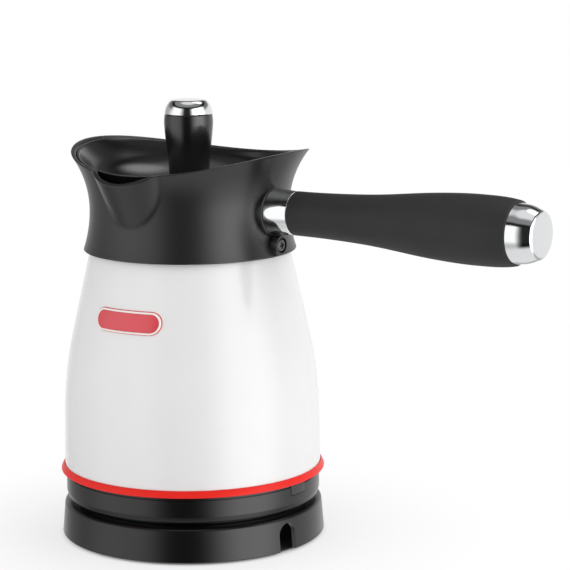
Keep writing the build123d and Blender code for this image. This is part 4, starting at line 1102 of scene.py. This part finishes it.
# %% Lid dish
dish_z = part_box("lid_knob")[0].z / MM
lid_gap = collar_wall + 0.4
lid_edge_wall = 0.9
lid_inner_gap = lid_gap + lid_edge_wall
lid_edge_drop = 0.5
lid_wall = 2.0
join_z = ledge_z + 7.8
seat_radius = 40.7
bowl_flat_radius = 11.0
bowl_mid_radius = 30.0
bowl_mid_z = dish_z + 4.6
bowl_line = [(flare(z, lid_inner_gap), z) for z in steps_between(stock_top_z, join_z, 9)]
join_slope = bowl_line[-1][0] - bowl_line[-2][0], bowl_line[-1][1] - bowl_line[-2][1]
bowl_line += soft_line([bowl_line[-1], (bowl_mid_radius, bowl_mid_z), (bowl_flat_radius, dish_z)],
                       join_slope, (-1, 0), 16)[1:]
under_line = soft_line([(bowl_flat_radius, dish_z - lid_wall), (bowl_mid_radius, bowl_mid_z - lid_wall),
                        (seat_radius, ledge_z)], (1, 0), (0.755, 0.656), 8)


def lid_skin(z):
    return flare(z, lid_gap)


def lid_bowl(z):
    return radius_on(bowl_line, z)


def lid_place(part, r, z, bearing):
    """Radius and height of a row of the lid at a bearing."""
    if part == "under" or z <= ledge_z:
        return r, z
    skin = lid_skin if part == "skin" else lid_bowl
    top = rim_z
    for _ in range(8):
        reach = skin(top)
        top = saddle(reach * math.sin(bearing), -reach * math.cos(bearing), lid_edge_drop)
    z = ledge_z + (z - ledge_z) * (top - ledge_z) / (stock_top_z - ledge_z)
    return skin(z), z


lid_rows = [("under", r, z) for r, z in [(0.0, dish_z - lid_wall)] + under_line]
lid_rows += [("skin", flare(z, lid_gap), z) for z in steps_between(ledge_z, stock_top_z, 12)]
lid_top_rows = (len(lid_rows) - 1, len(lid_rows))
lid_rows += [("bowl", r, z) for r, z in bowl_line + [(0.0, dish_z)]]
lid = labelled_ring(lid_rows, lid_columns)
reshape(lid, lid_rows, lid_place)
soften(lid, lid_top_rows, 0.3)
piece("lid", lid, "gloss_black", "lid", "lid_dish", crease=40)

# %% Lid knob
knob_top_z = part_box("lid_knob")[1].z / MM
knob_line = soft_line([(8.4, dish_z), (9.3, dish_z + 18.0), (10.98, dish_z + 35.2), (10.7, knob_top_z)],
                      end_slope=(-0.12, 1), count=12)
knob = turned([(0, dish_z), *knob_line, (0, knob_top_z)], {len(knob_line): 0.3}, steps=160)
piece("knob", knob, "gloss_black", "lid", "lid_knob")

cap_top_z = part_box("lid_knob_cap")[1].z / MM
cap_line = soft_line([(10.7, knob_top_z + 0.5), (10.25, knob_top_z + 2.6), (9.5, knob_top_z + 4.35),
                      (8.1, cap_top_z - 0.45), (6.6, cap_top_z)],
                     start_slope=(-0.06, 1), end_slope=(-1, 0.04), count=6)
knob_cap = turned([(0, knob_top_z), (10.55, knob_top_z), *cap_line, (0, cap_top_z)], {1: 0.2}, steps=160)
piece("knob_cap", knob_cap, "bright_chrome", "lid", "lid_knob_cap")

# %% [markdown]
# ## Badge
# A small raised pill on the vessel's front: a red edge, a pale frame and a red field. It is left
# plain. The pill starts as a circle that is pulled apart in the middle, cut into strips so that
# it can bend, given its thickness and its rounded edges lying flat, and only then laid on the
# cone by moving each point out to the vessel's skin.

# %% Badge
badge_z = vessel_foot_z + 74.4
badge_bearing = math.radians(-87.6)
badge_width = 34.0
badge_height = 9.6
badge_edge = 0.3
badge_frame = 0.8
badge_thickness = 0.9
badge_recess = 0.5
field_gap = 0.1
field_height = 0.4


def pill(width, height, low, high):
    """A flat pill from one height to another, cut into strips across its length."""
    bm = bmesh.new()
    bmesh.ops.create_circle(bm, cap_ends=True, segments=64, radius=height / 2 * MM)
    for vert in bm.verts:
        if abs(vert.co.x) > 0.001 * MM:
            vert.co.x += math.copysign((width - height) / 2 * MM, vert.co.x)
    strips = 24
    for i in range(1, strips):
        x = (i / strips - 0.5) * (width - height) * MM
        bmesh.ops.bisect_plane(bm, geom=bm.verts[:] + bm.edges[:] + bm.faces[:], plane_co=(x, 0, 0),
                               plane_no=(1, 0, 0))
    up = bmesh.ops.extrude_face_region(bm, geom=bm.faces[:])["geom"]
    tops = [v for v in up if isinstance(v, bmesh.types.BMVert)]
    bmesh.ops.translate(bm, vec=(0, 0, (high - low) * MM), verts=tops)
    bmesh.ops.translate(bm, vec=(0, 0, low * MM), verts=bm.verts)
    bmesh.ops.recalc_face_normals(bm, faces=bm.faces)
    return bm


def round_rim(bm, height, offset):
    """Rounds the sharp edges of a pill at one height."""
    edges = [e for e in bm.edges if e.calc_face_angle(0) > 1.0
             and all(abs(v.co.z - height * MM) < 0.01 * MM for v in e.verts)]
    bevelled(bm, edges, offset, 3)


def laid_on_cone(bm):
    """Moves a flat shape's points onto the vessel: x along the skin, y up, z out of it."""
    for vert in bm.verts:
        x, y, out = vert.co / MM
        z = badge_z + y
        reach = math.sqrt((cone_radius(z) + out) ** 2 - x * x)
        c, s = math.cos(badge_bearing), math.sin(badge_bearing)
        vert.co = Vector((reach * c - x * s, reach * s + x * c, z)) * MM
    bmesh.ops.recalc_face_normals(bm, faces=bm.faces)
    return bm


floor_height = badge_thickness - badge_recess
edge = pill(badge_width + 2 * badge_edge, badge_height + 2 * badge_edge, 0.0, floor_height)
round_rim(edge, floor_height, 0.12)
piece("badge_edge", laid_on_cone(edge), "badge_cream", "pot", "badge_plate", look="badge_red")
plate = pill(badge_width, badge_height, 0.0, badge_thickness)
hollow = pill(badge_width - 2 * badge_frame, badge_height - 2 * badge_frame, floor_height, 2.0)
plate = combined(plate, hollow, "DIFFERENCE")
round_rim(plate, badge_thickness, 0.2)
piece("badge_frame", laid_on_cone(plate), "badge_cream", "pot", "badge_plate")
field = pill(badge_width - 2 * badge_frame - field_gap, badge_height - 2 * badge_frame - field_gap,
             floor_height, floor_height + field_height)
round_rim(field, floor_height + field_height, 0.12)
piece("badge_field", laid_on_cone(field), "badge_red", "pot", "badge_inlay")

# %% [markdown]
# ## Parts that keep their CAD shape
# Screws, contacts, the heater and the other working parts already have their real shape in the
# CAD model, and most of them are hidden until the pot is lifted. They keep it and get their
# finish from the record's own slots.

# %% Working parts
wanted = {part["node"]: part["material_slot"] for part in frame["record"]["subparts"]}
for name, node in sorted(frame["nodes"].items()):
    if not node.hide_render:
        node.data.materials.clear()
        node.data.materials.append(finishes[wanted[name]])
        print(name, "->", wanted[name])
